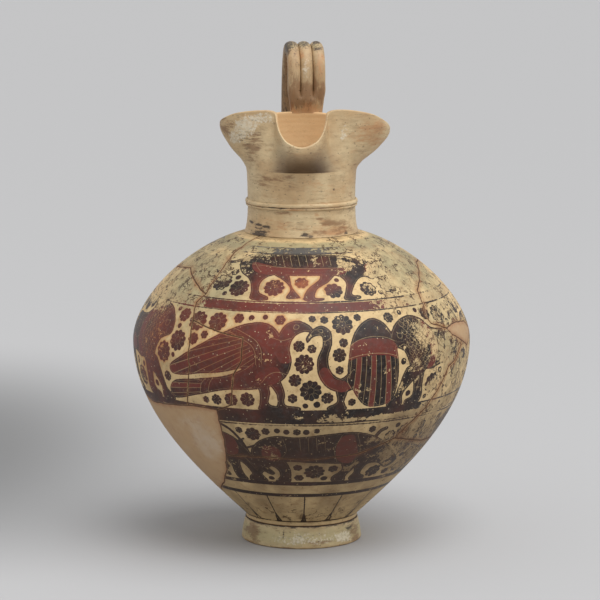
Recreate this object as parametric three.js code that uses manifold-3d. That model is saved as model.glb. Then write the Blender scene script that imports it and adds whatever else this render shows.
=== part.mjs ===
// A painted clay oinochoe, a wine jug with a three-lobed mouth, mended from its sherds.
// Its potter threw the body, the foot, and the neck with its mouth one by one, joined them, laid
// a ring of clay round the neck and swung three clay rolls from rim to shoulder as a handle.
// Lengths are in millimetres. +Z is up, the spout points along -Y and +X is the viewer's right.
// The origin is the middle of the circle that the foot rests on.
import * as THREE from "three";
import { LoftGeometry } from "three/addons/geometries/LoftGeometry.js";
import { mergeVertices } from "three/addons/utils/BufferGeometryUtils.js";
import Module from "manifold-3d";

const wasm = await Module();
wasm.setup();

// Joints and breaks
const seatGap = 0.3; // between two pieces that the potter joined
const breakWidth = 0.4; // between two sherds
const cutOverrun = 1.6; // how far a cutting shape runs past the wall that it cuts
const weldDistance = 0.0001; // vertices closer than this are one

// Foot
const footHeight = 20;
const footRadius = 55.5;
const footTopRadius = 52;
const footInnerRadius = 44;
const footEdge = 1.6; // the worn edge at the bottom, inside and out

// Body
const bodyWall = 5.5;
const baseRadius = 51.5; // the flat disc that stands on the foot
const baseThickness = 3.6; // up to where the wall starts to open out
const bellyRadius = 155;
const bellyHeight = 187;
const shoulderHeight = 286.3;
const shoulderRadius = 51.5; // where the shoulder meets the neck
const shoulderOpening = 45.5;

// Neck and mouth
const neckBaseRadius = 52.2;
const neckRadius = 49.3;
const creaseRadius = 50.6; // where the mouth starts to open
const neckHeight = 58.3; // from the shoulder to the crease
const neckWall = 5;
const rimWall = 3.6;
const rimRound = 1.4; // height of the rounded lip
const spoutReach = 69;
const spoutRise = 25.6; // this rise and the next ones are from the crease to the rim
const pinchReach = 42;
const pinchRise = 53.9;
const pinchAzimuth = THREE.MathUtils.degToRad(36);
const lobeAzimuth = THREE.MathUtils.degToRad(90);
const leftLobeReach = 74.5;
const leftLobeRise = 42.2;
const rightLobeReach = 80.5;
const rightLobeRise = 36.9;
const rimBackReach = 54.5;
const rimBackRise = 46.4;

// Raised ring round the neck: a broad roll over a narrow ridge
const ringDepth = 2.3; // how far the roll stands out from the neck
const ringWidth = 4.5;
const ridgeDepth = 1.9;
const ridgeWidth = 2.6;
const ringGrooveBend = THREE.MathUtils.degToRad(50); // how far each bends down into the groove between
const ringHeightShare = 0.457; // share of the neck's height

// Handle
const reedWidth = 11.35;
const reedDepth = 12.4;
const handleBackReach = 121; // from the jug's axis to the middle of the falling reeds
const handleStartRise = 20; // from the back of the rim to the front end of the reeds
const handleCrownRise = 57; // from the back of the rim to the middle of the reeds at the top
const handleEndRise = 16.4; // from the shoulder to the back end of the reeds
const handleShift = 10.2; // to the right of the axis, because the handle was set on askew
const handleYaw = THREE.MathUtils.degToRad(5.8);
const rootWidth = 30;
const rootDepth = 13;
const rimRootLength = 45;
const shoulderRootLength = 30;
const shoulderRootSpread = 8; // how much wider the clay gets where it is smeared on the shoulder

// Facets
const turnFacets = 56;
const [lowerWallSteps, upperWallSteps, innerWallSteps, fineSteps] = [8, 10, 6, 40];
const reedFacets = 10;
const reedSteps = 22;
const longestBreakBend = THREE.MathUtils.degToRad(12);
const longestBreakTwist = THREE.MathUtils.degToRad(2);

// Outlines as shares of the sizes above
// Foot's side, between its edges: share of the way in to the top radius, share of the height
const footFlareShares = [0.3, 0.5];
const lowerWallShares = { start: [0.45, 0.27], end: 0.4 };
const upperWallShares = { start: 0.35, end: [0.52, 0.13] };
// Neck, from its foot to its waist: share of the neck's height, share of the flare
const neckFlareShares = [[0, 1], [0.06, 0.6], [0.14, 0.28], [0.26, 0.06], [0.38, 0]];
// Neck, from its waist to the crease: share of the neck's height, share of the widening
const neckWideningShares = [[0.62, 0.05], [0.82, 0.3], [1, 1]];
// Neck's waist on the inside: share of the neck's height, share of the widening
const innerWaistShares = [0.5, 0];
// Mouth, from the crease to the rim: share of the height, share of the reach
const mouthFlareShares = [
  [0.1, 0.08], [0.2, 0.19], [0.32, 0.38], [0.45, 0.57], [0.6, 0.74], [0.76, 0.9], [0.9, 0.985],
];
// Rim between the spout's tip and the pinch: shares of the azimuth, the reach and the height
const spoutSideShares = [[0.3, 0.12, 0.13], [0.56, 0.48, 0.38], [0.82, 0.83, 0.73]];
// Rim between the pinch and the lobe's tip, and between the tip and the back
const lobeFrontShares = [[0.28, 0.27, -0.13], [0.56, 0.72, 0.1], [0.8, 0.96, 0.6]];
const lobeBackShares = [[0.22, 0.22, 0.1], [0.48, 0.62, 0.45], [0.76, 0.93, 0.9]];
// Handle's middle line: share of the way from the front reach to the back reach, then the share
// of the height from its lower end to its crown
const handleLineShares = [
  [0, 0.8], [0.01, 0.9], [0.08, 0.955], [0.22, 0.99], [0.4, 1], [0.6, 0.98], [0.77, 0.92],
  [0.88, 0.82], [0.95, 0.6], [1, 0.32], [0.995, 0.13], [0.96, 0],
];
// Clay roots: share of the length, then shares of the width and the depth, then the share of the
// depth by which the clay leans in towards the jug
const rimRootShares = [
  [0, 1.16, 1, 0], [0.22, 1.08, 0.95, -0.02], [0.44, 1, 0.82, -0.09], [0.65, 0.95, 0.8, 0.08],
  [0.88, 0.86, 0.5, 0.24], [1, 0.7, 0.22, 0.3],
];
const shoulderRootShares = [
  [0, 0.68, 1, 0], [0.35, 0.78, 1.3, 0.05], [0.7, 1, 1.45, -0.05], [1, 1.1, 1.2, -0.2],
];

// Breaks, as points on the body's surface: share of a half turn from the spout, counted towards
// the right, then the share of the height from the base to the neck. Past 1 a break runs on
// across the seat of the neck.
const neckSeatShare = 1.005;
const leftForkShares = [-0.236, 0.831];
const leftCornerShares = [-0.235, 0.75];
const fillTopLeftShares = [-0.242, 0.456];
const fillTopRightShares = [-0.171, 0.455];
const fillRightShares = [-0.189, 0.28];
const fillBackShares = [-0.55, 0.23];
const fillUpperBackShares = [-0.561, 0.36];
const leftBackForkShares = [-0.678, 0.808];
const rightBackForkShares = [0.655, 0.808];
const rightPatchLeftShares = [0.334, 0.703];
const rightPatchLowShares = [0.389, 0.647];
const rightPatchBackShares = [0.478, 0.667];
const frontLowShares = [0.218, 0.34];
const rightBaseShares = [0.667, 0.275];

const breakShares = {
  leftFront: [
    [-0.261, neckSeatShare], [-0.258, 0.955], [-0.242, 0.91], leftForkShares, [-0.249, 0.804], leftCornerShares,
    [-0.226, 0.687], [-0.222, 0.587], fillTopLeftShares,
  ],
  leftShoulder: [leftForkShares, [-0.31, 0.866], [-0.378, 0.892], [-0.52, 0.872], leftBackForkShares],
  leftBack: [
    [-0.71, neckSeatShare], [-0.689, 0.907], leftBackForkShares, [-0.622, 0.656], [-0.589, 0.48], fillUpperBackShares,
  ],
  frontLeft: [
    leftCornerShares, [-0.167, 0.724], [-0.112, 0.71], [-0.111, 0.636], [-0.127, 0.586],
    [-0.136, 0.479], fillTopRightShares,
  ],
  frontRight: [
    rightPatchLowShares, [0.351, 0.588], [0.328, 0.574], [0.307, 0.512], [0.277, 0.438],
    [0.241, 0.385], frontLowShares, [0.133, 0.294], [0.022, 0.279], [-0.078, 0.286], fillRightShares,
  ],
  rightShoulder: [
    rightPatchLeftShares, [0.289, 0.729], [0.284, 0.753], [0.308, 0.832], [0.376, 0.872], [0.449, 0.899],
    [0.578, 0.892], rightBackForkShares,
  ],
  rightSide: [rightPatchBackShares, [0.578, 0.686], rightBackForkShares],
  rightBack: [
    [0.678, neckSeatShare], [0.7, 0.907], rightBackForkShares, [0.644, 0.656], [0.689, 0.48], rightBaseShares,
  ],
  base: [
    frontLowShares, [0.333, 0.301], [0.511, 0.286], rightBaseShares, [0.833, 0.26], [1, 0.271], [1.167, 0.256],
    [1.333, 0.271], [1.45, 0.23],
  ],
};
const patchShares = {
  lowerLeft: [
    fillTopLeftShares, [-0.211, 0.458], fillTopRightShares, [-0.172, 0.399], [-0.175, 0.341], fillRightShares,
    [-0.217, 0.213], [-0.273, 0.153], [-0.383, 0.098], [-0.489, 0.13], fillBackShares, fillUpperBackShares,
    [-0.467, 0.442], [-0.383, 0.431], [-0.322, 0.44],
  ],
  right: [
    rightPatchLeftShares, [0.379, 0.711], [0.444, 0.698], rightPatchBackShares, [0.457, 0.644],
    [0.424, 0.619], rightPatchLowShares, [0.349, 0.678],
  ],
};

// One point inside each sherd and each filled gap, given as the breaks are
const pieceShares = {
  sherd_shoulder_left: [-0.45, 0.93],
  sherd_side_left: [-0.4, 0.65],
  sherd_front_left: [-0.18, 0.6],
  sherd_front: [0.05, 0.6],
  sherd_shoulder_right: [0.5, 0.78],
  sherd_side_right: [0.5, 0.45],
  sherd_back: [1, 0.6],
  sherd_base: [0, 0.12],
  fill_lower_left: [-0.33, 0.3],
  fill_right_belly: [0.41, 0.67],
};

const paintedClay = new THREE.MeshStandardMaterial({ color: 0x8c5a3c, roughness: 0.5, metalness: 0 });
const slippedClay = new THREE.MeshStandardMaterial({ color: 0xcbb48a, roughness: 0.65, metalness: 0 });
const fillPlaster = new THREE.MeshStandardMaterial({ color: 0xb39a7c, roughness: 0.85, metalness: 0 });

const mix = THREE.MathUtils.lerp;

// A point of the jug at an azimuth counted from the spout towards +X.
function around(azimuth, radius, height) {
  return new THREE.Vector3(radius * Math.sin(azimuth), -radius * Math.cos(azimuth), height);
}

// A closed mesh as a solid: its doubled vertices are welded and its empty faces dropped.
function solidOf(geometry) {
  const bare = new THREE.BufferGeometry().setAttribute("position", geometry.getAttribute("position"));
  bare.setIndex(geometry.getIndex());
  const welded = mergeVertices(bare, weldDistance);
  const corners = welded.getIndex().array;
  const kept = [];
  for (let i = 0; i < corners.length; i += 3) {
    const [a, b, c] = corners.slice(i, i + 3);
    if (a !== b && b !== c && c !== a) kept.push(a, b, c);
  }
  return new wasm.Manifold(new wasm.Mesh({
    numProp: 3,
    vertProperties: new Float32Array(welded.getAttribute("position").array),
    triVerts: new Uint32Array(kept),
  }));
}

function geometryOf(solid) {
  const mesh = solid.getMesh();
  const geometry = new THREE.BufferGeometry();
  geometry.setAttribute("position", new THREE.BufferAttribute(mesh.vertProperties, 3));
  geometry.setIndex(new THREE.BufferAttribute(mesh.triVerts, 1));
  return geometry;
}

function piece(name, geometry, material) {
  const flat = geometry.index ? geometry.toNonIndexed() : geometry;
  flat.computeVertexNormals();
  const mesh = new THREE.Mesh(flat, material);
  mesh.name = name;
  return mesh;
}

// A thrown piece: an outline of radii and heights, turned about the jug's axis.
function thrown(outline) {
  return new THREE.LatheGeometry(outline, turnFacets).rotateX(Math.PI / 2);
}

const point = (radius, height) => new THREE.Vector2(radius, height);

function between(a, b, [radiusShare, heightShare]) {
  return point(mix(a.x, b.x, radiusShare), mix(a.y, b.y, heightShare));
}

// The foot: a ring that flares to its resting edge, open underneath.
function footGeometry() {
  const side = new THREE.QuadraticBezierCurve(
    point(footRadius, footEdge),
    between(point(footRadius, 0), point(footTopRadius, footHeight), footFlareShares),
    point(footTopRadius, footHeight),
  );
  return thrown([
    point(footInnerRadius + footEdge, 0),
    point(footRadius - footEdge, 0),
    ...side.getPoints(3),
    point(footInnerRadius, footHeight),
    point(footInnerRadius, footEdge),
    point(footInnerRadius + footEdge, 0),
  ]);
}

// The body's wall in two arcs that meet at the belly.
const bodyBottom = footHeight + seatGap;
const wallStart = point(baseRadius, bodyBottom + baseThickness);
const wallEnd = point(shoulderRadius, shoulderHeight);
const belly = point(bellyRadius, bellyHeight);
const creaseHeight = shoulderHeight + neckHeight;

const lowerWall = new THREE.CubicBezierCurve(
  wallStart,
  between(wallStart, belly, lowerWallShares.start),
  point(bellyRadius, mix(bellyHeight, wallStart.y, lowerWallShares.end)),
  belly,
);
const upperWall = new THREE.CubicBezierCurve(
  belly,
  point(bellyRadius, mix(bellyHeight, shoulderHeight, upperWallShares.start)),
  between(wallEnd, belly, upperWallShares.end),
  wallEnd,
);

// Points of the wall's outline, moved outwards by a distance, or inwards by a negative one.
function wallPoints(offset, lowerSteps, upperSteps) {
  const points = [];
  for (const [curve, steps] of [[lowerWall, lowerSteps], [upperWall, upperSteps]]) {
    for (let i = points.length ? 1 : 0; i <= steps; i++) {
      const along = curve.getTangent(i / steps);
      const outwards = point(along.y, -along.x);
      points.push(curve.getPoint(i / steps).addScaledVector(outwards, offset));
    }
  }
  return points;
}

function bodyShell() {
  const inner = wallPoints(-bodyWall, innerWallSteps, innerWallSteps).reverse();
  const floor = inner.at(-1);
  const opening = inner[0];
  return solidOf(thrown([
    point(0, bodyBottom),
    point(baseRadius, bodyBottom),
    ...wallPoints(0, lowerWallSteps, upperWallSteps),
    point(shoulderOpening, shoulderHeight),
    point(shoulderOpening, opening.y),
    ...inner,
    point(0, floor.y),
  ]));
}

// The body without its hollow and a joint's gap larger, which cuts what is set on it.
function bodyCutter() {
  const outline = wallPoints(seatGap, lowerWallSteps, upperWallSteps);
  return thrown([point(0, outline[0].y), ...outline, point(0, outline.at(-1).y)]);
}

// The wall's outline, run on across the seat of the neck, to place breaks on.
const breakOutline = [
  ...wallPoints(0, fineSteps, fineSteps),
  point(shoulderOpening - cutOverrun, mix(wallStart.y, shoulderHeight, neckSeatShare)),
];

// Where a pair of shares lies on the body, with the direction that points out of the wall there.
function onBody([turnShare, heightShare]) {
  const height = mix(wallStart.y, shoulderHeight, heightShare);
  const last = breakOutline.length - 1;
  const next = Math.max(1, breakOutline.findIndex((p, i) => p.y >= height || i === last));
  const [low, high] = [breakOutline[next - 1], breakOutline[next]];
  const radius = mix(low.x, high.x, (height - low.y) / (high.y - low.y));
  const azimuth = turnShare * Math.PI;
  const slope = high.clone().sub(low).normalize();
  return {
    place: around(azimuth, radius, height),
    outwards: around(azimuth, slope.y, -slope.x),
  };
}

// The steps that a stretch of a break takes, so that it follows the curved wall and the thin
// cut along it doesn't twist through itself.
function stepsBetween(from, to) {
  const start = onBody(from);
  const end = onBody(to);
  const along = end.place.clone().sub(start.place).normalize();
  const bend = start.outwards.angleTo(end.outwards);
  const twist = start.outwards.clone().projectOnPlane(along)
    .angleTo(end.outwards.clone().projectOnPlane(along));
  return Math.max(1, Math.ceil(bend / longestBreakBend), Math.ceil(twist / longestBreakTwist));
}

function breakLine(shares) {
  const line = [shares[0]];
  for (let i = 1; i < shares.length; i++) {
    const steps = stepsBetween(shares[i - 1], shares[i]);
    for (let k = 1; k <= steps; k++) {
      line.push(shares[i - 1].map((share, axis) => mix(share, shares[i][axis], k / steps)));
    }
  }
  return line;
}

// A thin wall along a break, right through the shell, that parts the sherds. Both ends run on
// by the break's width, so that they cross the breaks that they meet.
function breakCutter(shares) {
  const spots = breakLine(shares).map(onBody);
  const sections = spots.map(({ place, outwards }, i) => {
    const before = spots[i - 1] ?? spots[i];
    const after = spots[i + 1] ?? spots[i];
    const along = after.place.clone().sub(before.place).normalize();
    const side = new THREE.Vector3().crossVectors(outwards, along).setLength(breakWidth / 2);
    const past = (after === spots[i] ? 1 : 0) - (before === spots[i] ? 1 : 0);
    const middle = place.clone().addScaledVector(along, past * breakWidth);
    const outer = middle.clone().addScaledVector(outwards, cutOverrun);
    const inner = middle.clone().addScaledVector(outwards, -bodyWall - cutOverrun);
    return [
      outer.clone().add(side), outer.clone().sub(side),
      inner.clone().sub(side), inner.clone().add(side),
    ];
  });
  return solidOf(new LoftGeometry(sections, { capStart: true, capEnd: true }));
}

// A closed outline as two open runs, since a cut mustn't overlap itself.
function bothHalves(outline) {
  const middle = Math.ceil(outline.length / 2);
  return [outline.slice(0, middle + 1), [...outline.slice(middle), outline[0]]];
}

function bodyPieces() {
  const cutters = [
    ...Object.values(breakShares),
    ...Object.values(patchShares).flatMap(bothHalves),
  ].map(breakCutter);
  const parted = cutters.reduce((rest, cutter) => rest.subtract(cutter), bodyShell());
  const meshes = parted.decompose().map((solid) => new THREE.Mesh(geometryOf(solid)));
  return Object.entries(pieceShares).map(([name, shares]) => {
    const { place, outwards } = onBody(shares);
    const start = place.clone().addScaledVector(outwards, cutOverrun);
    const struck = new THREE.Raycaster(start, outwards.clone().negate()).intersectObjects(meshes);
    const material = name.startsWith("fill") ? fillPlaster : paintedClay;
    return piece(name, struck[0].object.geometry, material);
  });
}

// The rim's reach and height all the way round, through the spout, the pinches, the lobes and
// the back.
function rimTable() {
  const rimPoint = (azimuth, reach, rise) => ({ azimuth, reach, height: creaseHeight + rise });
  const spout = rimPoint(0, spoutReach, spoutRise);
  const pinch = rimPoint(pinchAzimuth, pinchReach, pinchRise);
  const back = rimPoint(Math.PI, rimBackReach, rimBackRise);
  const left = rimPoint(lobeAzimuth, leftLobeReach, leftLobeRise);
  const right = rimPoint(lobeAzimuth, rightLobeReach, rightLobeRise);
  const half = (lobe) => [
    spout, ...stretch(spout, pinch, spoutSideShares),
    pinch, ...stretch(pinch, lobe, lobeFrontShares),
    lobe, ...stretch(lobe, back, lobeBackShares),
    back,
  ];
  const mirrored = half(left).slice(1, -1).reverse().map((p) => ({ ...p, azimuth: -p.azimuth }));
  return [{ ...back, azimuth: -Math.PI }, ...mirrored, ...half(right)];
}

function stretch(from, to, shares) {
  return shares.map(([azimuthShare, reachShare, heightShare]) => ({
    azimuth: mix(from.azimuth, to.azimuth, azimuthShare),
    reach: mix(from.reach, to.reach, reachShare),
    height: mix(from.height, to.height, heightShare),
  }));
}

// A smooth closed curve through the rim's table, read at an azimuth from -180 to 180 degrees.
function rimReader() {
  const table = rimTable();
  const values = new THREE.CubicInterpolant(
    table.map((p) => p.azimuth),
    table.flatMap((p) => [p.reach, p.height]),
    2,
  );
  values.settings = { endingStart: THREE.WrapAroundEnding, endingEnd: THREE.WrapAroundEnding };
  return (azimuth) => {
    const [reach, height] = values.evaluate(azimuth);
    return { reach, height };
  };
}

// The neck and the mouth as one wall: rings climb the outside, go over the lip and come down
// inside, where every other ring is enough. A gap makes the wall thicker all round, for the solid
// that cuts what sits on the rim.
function neckAndMouthGeometry(gap) {
  const rim = rimReader();
  const bottom = shoulderHeight + seatGap - gap;
  const azimuths = Array.from({ length: turnFacets }, (_, i) => ((i / turnFacets) * 2 - 1) * Math.PI);
  const level = (height, radius) => azimuths.map((azimuth) => around(azimuth, radius, height));
  const neckLevel = ([heightShare, widerShare], widest, inset) => level(
    mix(bottom, creaseHeight, heightShare),
    mix(neckRadius, widest, widerShare) - inset,
  );
  const mouthLevel = ([heightShare, reachShare], inset) => azimuths.map((azimuth) => {
    const { reach, height } = rim(azimuth);
    const radius = mix(creaseRadius, reach, reachShare) - inset;
    return around(azimuth, radius, mix(creaseHeight, height - rimRound + gap, heightShare));
  });
  const lipTop = azimuths.map((azimuth) => {
    const { reach, height } = rim(azimuth);
    return around(azimuth, reach - rimWall / 2, height + gap);
  });
  const insets = (heightShare) => mix(neckWall, rimWall, heightShare) + gap;
  const sections = [
    ...neckFlareShares.map((shares) => neckLevel(shares, neckBaseRadius, -gap)),
    ...neckWideningShares.map((shares) => neckLevel(shares, creaseRadius, -gap)),
    ...mouthFlareShares.map((shares) => mouthLevel(shares, -gap)),
    mouthLevel([1, 1], -gap),
    lipTop,
    mouthLevel([1, 1], rimWall + gap),
    ...mouthFlareShares.toReversed().filter((_, i) => i % 2 === 1)
      .map((shares) => mouthLevel(shares, insets(shares[0]))),
    neckLevel([1, 1], creaseRadius, neckWall + gap),
    neckLevel(innerWaistShares, creaseRadius, neckWall + gap),
    level(bottom, shoulderOpening),
  ];
  return new LoftGeometry([...sections, sections[0]]);
}

// The raised ring: a roll and a ridge outside, flat against the neck.
function ringGeometry() {
  const groove = mix(shoulderHeight, creaseHeight, ringHeightShare);
  const inner = neckRadius + seatGap;
  const swell = (depth, width, way) => {
    const middle = groove + (way * Math.sin(ringGrooveBend) * width) / 2;
    const bends = [-way * ringGrooveBend, (way * Math.PI) / 2];
    return new THREE.EllipseCurve(
      inner, middle, depth - seatGap, width / 2, Math.min(...bends), Math.max(...bends),
    ).getPoints(5);
  };
  const outline = [...swell(ridgeDepth, ridgeWidth, -1), ...swell(ringDepth, ringWidth, 1)];
  return thrown([...outline, outline[0]]);
}

// The height of the body's shoulder at a radius.
function shoulderAt(radius) {
  const places = upperWall.getPoints(fineSteps);
  const next = Math.max(1, places.findIndex((p) => p.x <= radius));
  const [low, high] = [places[next - 1], places[next]];
  return mix(low.y, high.y, (low.x - radius) / (low.x - high.x));
}

// The handle's middle line, in a plane that stands upright through the handle. It starts above
// the back of the rim and ends above the shoulder.
function handleLine() {
  const rimBack = creaseHeight + rimBackRise;
  const lastReach = mix(rimBackReach, handleBackReach, handleLineShares.at(-1)[0]);
  const end = shoulderAt(lastReach) + handleEndRise;
  const points = handleLineShares.map(([reachShare, heightShare]) => new THREE.Vector3(
    0,
    mix(rimBackReach, handleBackReach, reachShare),
    mix(end, rimBack + handleCrownRise, heightShare),
  ));
  points[0].z = rimBack + handleStartRise;
  return new THREE.CatmullRomCurve3(points);
}

const sideways = new THREE.Vector3(1, 0, 0);

// A rounded section across the handle's line.
function section(middle, along, width, depth, facets) {
  const outwards = new THREE.Vector3().crossVectors(along, sideways).normalize();
  return Array.from({ length: facets }, (_, i) => {
    const angle = (i / facets) * 2 * Math.PI;
    return middle.clone()
      .addScaledVector(sideways, (width / 2) * Math.cos(angle))
      .addScaledVector(outwards, (depth / 2) * Math.sin(angle));
  });
}

function reedGeometry(line) {
  const sections = Array.from({ length: reedSteps + 1 }, (_, i) => section(
    line.getPointAt(i / reedSteps), line.getTangentAt(i / reedSteps), reedWidth, reedDepth, reedFacets,
  ));
  return new LoftGeometry(sections, { capStart: true, capEnd: true });
}

// Clay that runs on from the reeds' end and is smeared over what carries it.
function rootGeometry(start, along, length, shares, spread) {
  const inwards = new THREE.Vector3(0, -1, 0);
  const sections = shares.map(([lengthShare, widthShare, depthShare, leanShare]) => {
    const middle = start.clone()
      .addScaledVector(along, seatGap + lengthShare * length)
      .addScaledVector(inwards, leanShare * rootDepth);
    const width = spread ? rootWidth + widthShare * spread : rootWidth * widthShare;
    return section(middle, along, width, rootDepth * depthShare, 2 * reedFacets);
  });
  return new LoftGeometry(sections, { capStart: true, capEnd: true });
}

function handle() {
  const group = new THREE.Group();
  group.position.x = handleShift;
  group.rotation.z = handleYaw;
  group.updateMatrix();
  const intoHandle = group.matrix.clone().invert();
  const line = handleLine();
  const reedPitch = reedWidth + seatGap;
  ["left", "middle", "right"].forEach((side, i) => {
    const reed = piece("handle_reed_" + side, reedGeometry(line), slippedClay);
    reed.position.x = (i - 1) * reedPitch;
    group.add(reed);
  });
  const down = line.getTangentAt(0).negate();
  const rimRoot = solidOf(rootGeometry(line.getPointAt(0), down, rimRootLength, rimRootShares, 0));
  const mouth = solidOf(neckAndMouthGeometry(seatGap).applyMatrix4(intoHandle));
  group.add(piece("handle_root_rim", geometryOf(rimRoot.subtract(mouth)), slippedClay));
  const onwards = line.getTangentAt(1);
  const shoulderRoot = solidOf(rootGeometry(
    line.getPointAt(1), onwards, shoulderRootLength, shoulderRootShares, shoulderRootSpread,
  ));
  const body = solidOf(bodyCutter().applyMatrix4(intoHandle));
  group.add(piece("handle_root_shoulder", geometryOf(shoulderRoot.subtract(body)), slippedClay));
  return group;
}

const jug = new THREE.Group();
jug.add(piece("foot_ring", footGeometry(), slippedClay));
jug.add(...bodyPieces());
jug.add(piece("neck_and_mouth", neckAndMouthGeometry(0), slippedClay));
jug.add(piece("neck_ring", ringGeometry(), slippedClay));
jug.add(handle());

export default jug;
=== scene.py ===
"""Dresses a mended, painted clay wine jug: slip, animal friezes, wear, cracks, plaster fills and stains.

Lengths in this script are millimetres until a mesh is made, unless a comment says otherwise. +Z is
up, the spout points along -Y, and a place on the jug is an azimuth, counted from the spout towards
+X, with a height or a length along the wall. Tables of numbers are text: see rows().
"""

import logging
import math
from collections.abc import Callable
from dataclasses import dataclass, field
from enum import Enum

import bpy
import numpy as np
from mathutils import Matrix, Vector
from mathutils.geometry import delaunay_2d_cdt
from mathutils.kdtree import KDTree


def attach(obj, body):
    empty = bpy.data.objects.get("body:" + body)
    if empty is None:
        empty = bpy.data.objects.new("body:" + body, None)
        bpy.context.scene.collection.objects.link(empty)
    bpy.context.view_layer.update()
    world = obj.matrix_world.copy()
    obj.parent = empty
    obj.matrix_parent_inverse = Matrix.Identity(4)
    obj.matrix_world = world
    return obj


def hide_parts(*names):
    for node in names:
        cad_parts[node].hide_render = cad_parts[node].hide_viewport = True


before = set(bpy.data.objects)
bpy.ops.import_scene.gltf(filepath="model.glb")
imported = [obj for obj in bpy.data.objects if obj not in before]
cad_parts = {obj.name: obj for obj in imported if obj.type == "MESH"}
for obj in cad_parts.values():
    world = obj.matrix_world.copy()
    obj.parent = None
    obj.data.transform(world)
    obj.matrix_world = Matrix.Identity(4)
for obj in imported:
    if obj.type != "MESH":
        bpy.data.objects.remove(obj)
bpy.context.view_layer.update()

log = logging.getLogger("jug")

MM = 0.001
TURN = 2 * math.pi
FAR = 12.0  # a signed distance that stands for "nowhere near"

Array = np.ndarray
Points = list[tuple[float, ...]]
Pair = tuple[float, float]
Triple = tuple[float, float, float]
Inputs = dict[str | int, object]


class Slot(Enum):
    """The record's material slots."""

    PAINTED = "painted_clay"
    SLIPPED = "slipped_clay"
    PLASTER = "fill_plaster"


# Tables, curves and distances


def rows(text: str) -> Points:
    """Reads a table: commas part the numbers of a row, and spaces the rows."""
    return [tuple(float(number) for number in row.split(",")) for row in text.split()]


def drawn(text: str) -> tuple[Points, ...]:
    """Reads several lines of points, which slashes part."""
    return tuple(rows(line) for line in text.split("/"))


def eased(a: Array, b: Array, leave: Array, arrive: Array, t: Array) -> Array:
    """A cubic curve from a to b with the slopes leave and arrive at its ends, at shares t of the way."""
    return a + leave * t + (3 * (b - a) - 2 * leave - arrive) * t**2 + (2 * (a - b) + leave + arrive) * t**3


def smooth_path(points: Points, closed: bool, steps: int = 7) -> Array:
    """Runs a centripetal spline through points.

    Args:
        points: the points that the spline passes.
        closed: whether the last point joins the first.
        steps: how many stretches replace each gap between points.

    Returns:
        The points of the finer path.
    """
    knots = np.asarray(points, float)
    if closed:
        knots = np.vstack([knots[-1:], knots, knots[:2]])
    else:
        knots = np.vstack([2 * knots[0] - knots[1], knots, 2 * knots[-1] - knots[-2]])
    p0, p1, p2, p3 = knots[:-3], knots[1:-2], knots[2:-1], knots[3:]

    def gap(a: Array, b: Array) -> Array:
        """The root of the distance between neighbours, which spaces the knots."""
        return np.maximum(np.sqrt(np.linalg.norm(b - a, axis=1)), 1e-4)[:, None]

    d0, d1, d2 = gap(p0, p1), gap(p1, p2), gap(p2, p3)
    leave = ((p1 - p0) / d0 - (p2 - p0) / (d0 + d1) + (p2 - p1) / d1) * d1
    arrive = ((p2 - p1) / d1 - (p3 - p1) / (d1 + d2) + (p3 - p2) / d2) * d1
    t = (np.arange(steps) / steps)[None, :, None]
    path = eased(p1[:, None], p2[:, None], leave[:, None], arrive[:, None], t).reshape(-1, knots.shape[1])
    return path if closed else np.vstack([path, knots[-2:-1]])


def even_path(path: Array, count: int) -> Array:
    """Resamples a path.

    Args:
        path: the points of an open path.
        count: how many points the result has.

    Returns:
        Points at equal lengths along the path.
    """
    lengths = np.concatenate([[0], np.cumsum(np.linalg.norm(np.diff(path, axis=0), axis=1))])
    wanted = np.linspace(0, lengths[-1], count)
    return np.stack([np.interp(wanted, lengths, column) for column in path.T], axis=1)


def line_distance(places: Array, path: Array, closed: bool) -> tuple[Array, Array]:
    """Measures how far places lie from a path.

    Args:
        places: the places, two coordinates each.
        path: the points of the path.
        closed: whether the path's last point joins the first.

    Returns:
        The distance of each place, and the side of the nearest stretch that it lies on, 1 or -1.
    """
    start = path if closed else path[:-1]
    run = (np.roll(path, -1, axis=0) if closed else path[1:]) - start
    away = places[:, None, :] - start[None]
    along = np.clip((away * run).sum(-1) / np.maximum((run * run).sum(-1), 1e-9), 0, 1)
    away -= along[..., None] * run
    squared = (away * away).sum(-1)
    nearest = squared.argmin(1)
    rows = np.arange(len(places))
    offset = places - start[nearest]
    side = np.sign(run[nearest, 0] * offset[:, 1] - run[nearest, 1] * offset[:, 0])
    return np.sqrt(squared[rows, nearest]), np.where(side == 0, 1.0, side)


def inside(places: Array, path: Array) -> Array:
    """Tells which places lie inside a closed path, by counting the edges to their right.

    Args:
        places: the places, two coordinates each.
        path: the points of the path.

    Returns:
        Whether each place lies inside.
    """
    a, b = path, np.roll(path, -1, axis=0)
    x, y = places[:, 0, None], places[:, 1, None]
    spans = (a[None, :, 1] > y) != (b[None, :, 1] > y)
    rise = np.where(b[:, 1] == a[:, 1], 1e-9, b[:, 1] - a[:, 1])
    crossing = a[None, :, 0] + (y - a[None, :, 1]) * ((b[:, 0] - a[:, 0]) / rise)[None]
    return (spans & (x < crossing)).sum(1) % 2 == 1


def area_distance(places: Array, path: Array) -> Array:
    """The distance of places from a closed path, positive inside it."""
    away, _ = line_distance(places, path, True)
    return np.where(inside(places, path), away, -away)


def ripple(x: Array, y: Array, wavelength: float, seed: int) -> Array:
    """A smooth, repeatable unevenness, from -1 to 1.

    Args:
        x: the first coordinate of each place.
        y: the second coordinate.
        wavelength: the size of its largest waves.
        seed: picks one unevenness of many.

    Returns:
        A value for each place.
    """
    chance = np.random.default_rng(seed)
    total = np.zeros_like(x, float)
    for octave in range(5):
        angle, phase = chance.uniform(0, TURN, 2)
        pitch = wavelength / 1.55**octave
        total += np.sin((x * math.cos(angle) + y * math.sin(angle)) * TURN / pitch + phase) / 1.25**octave
    return total / 3.4


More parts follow.
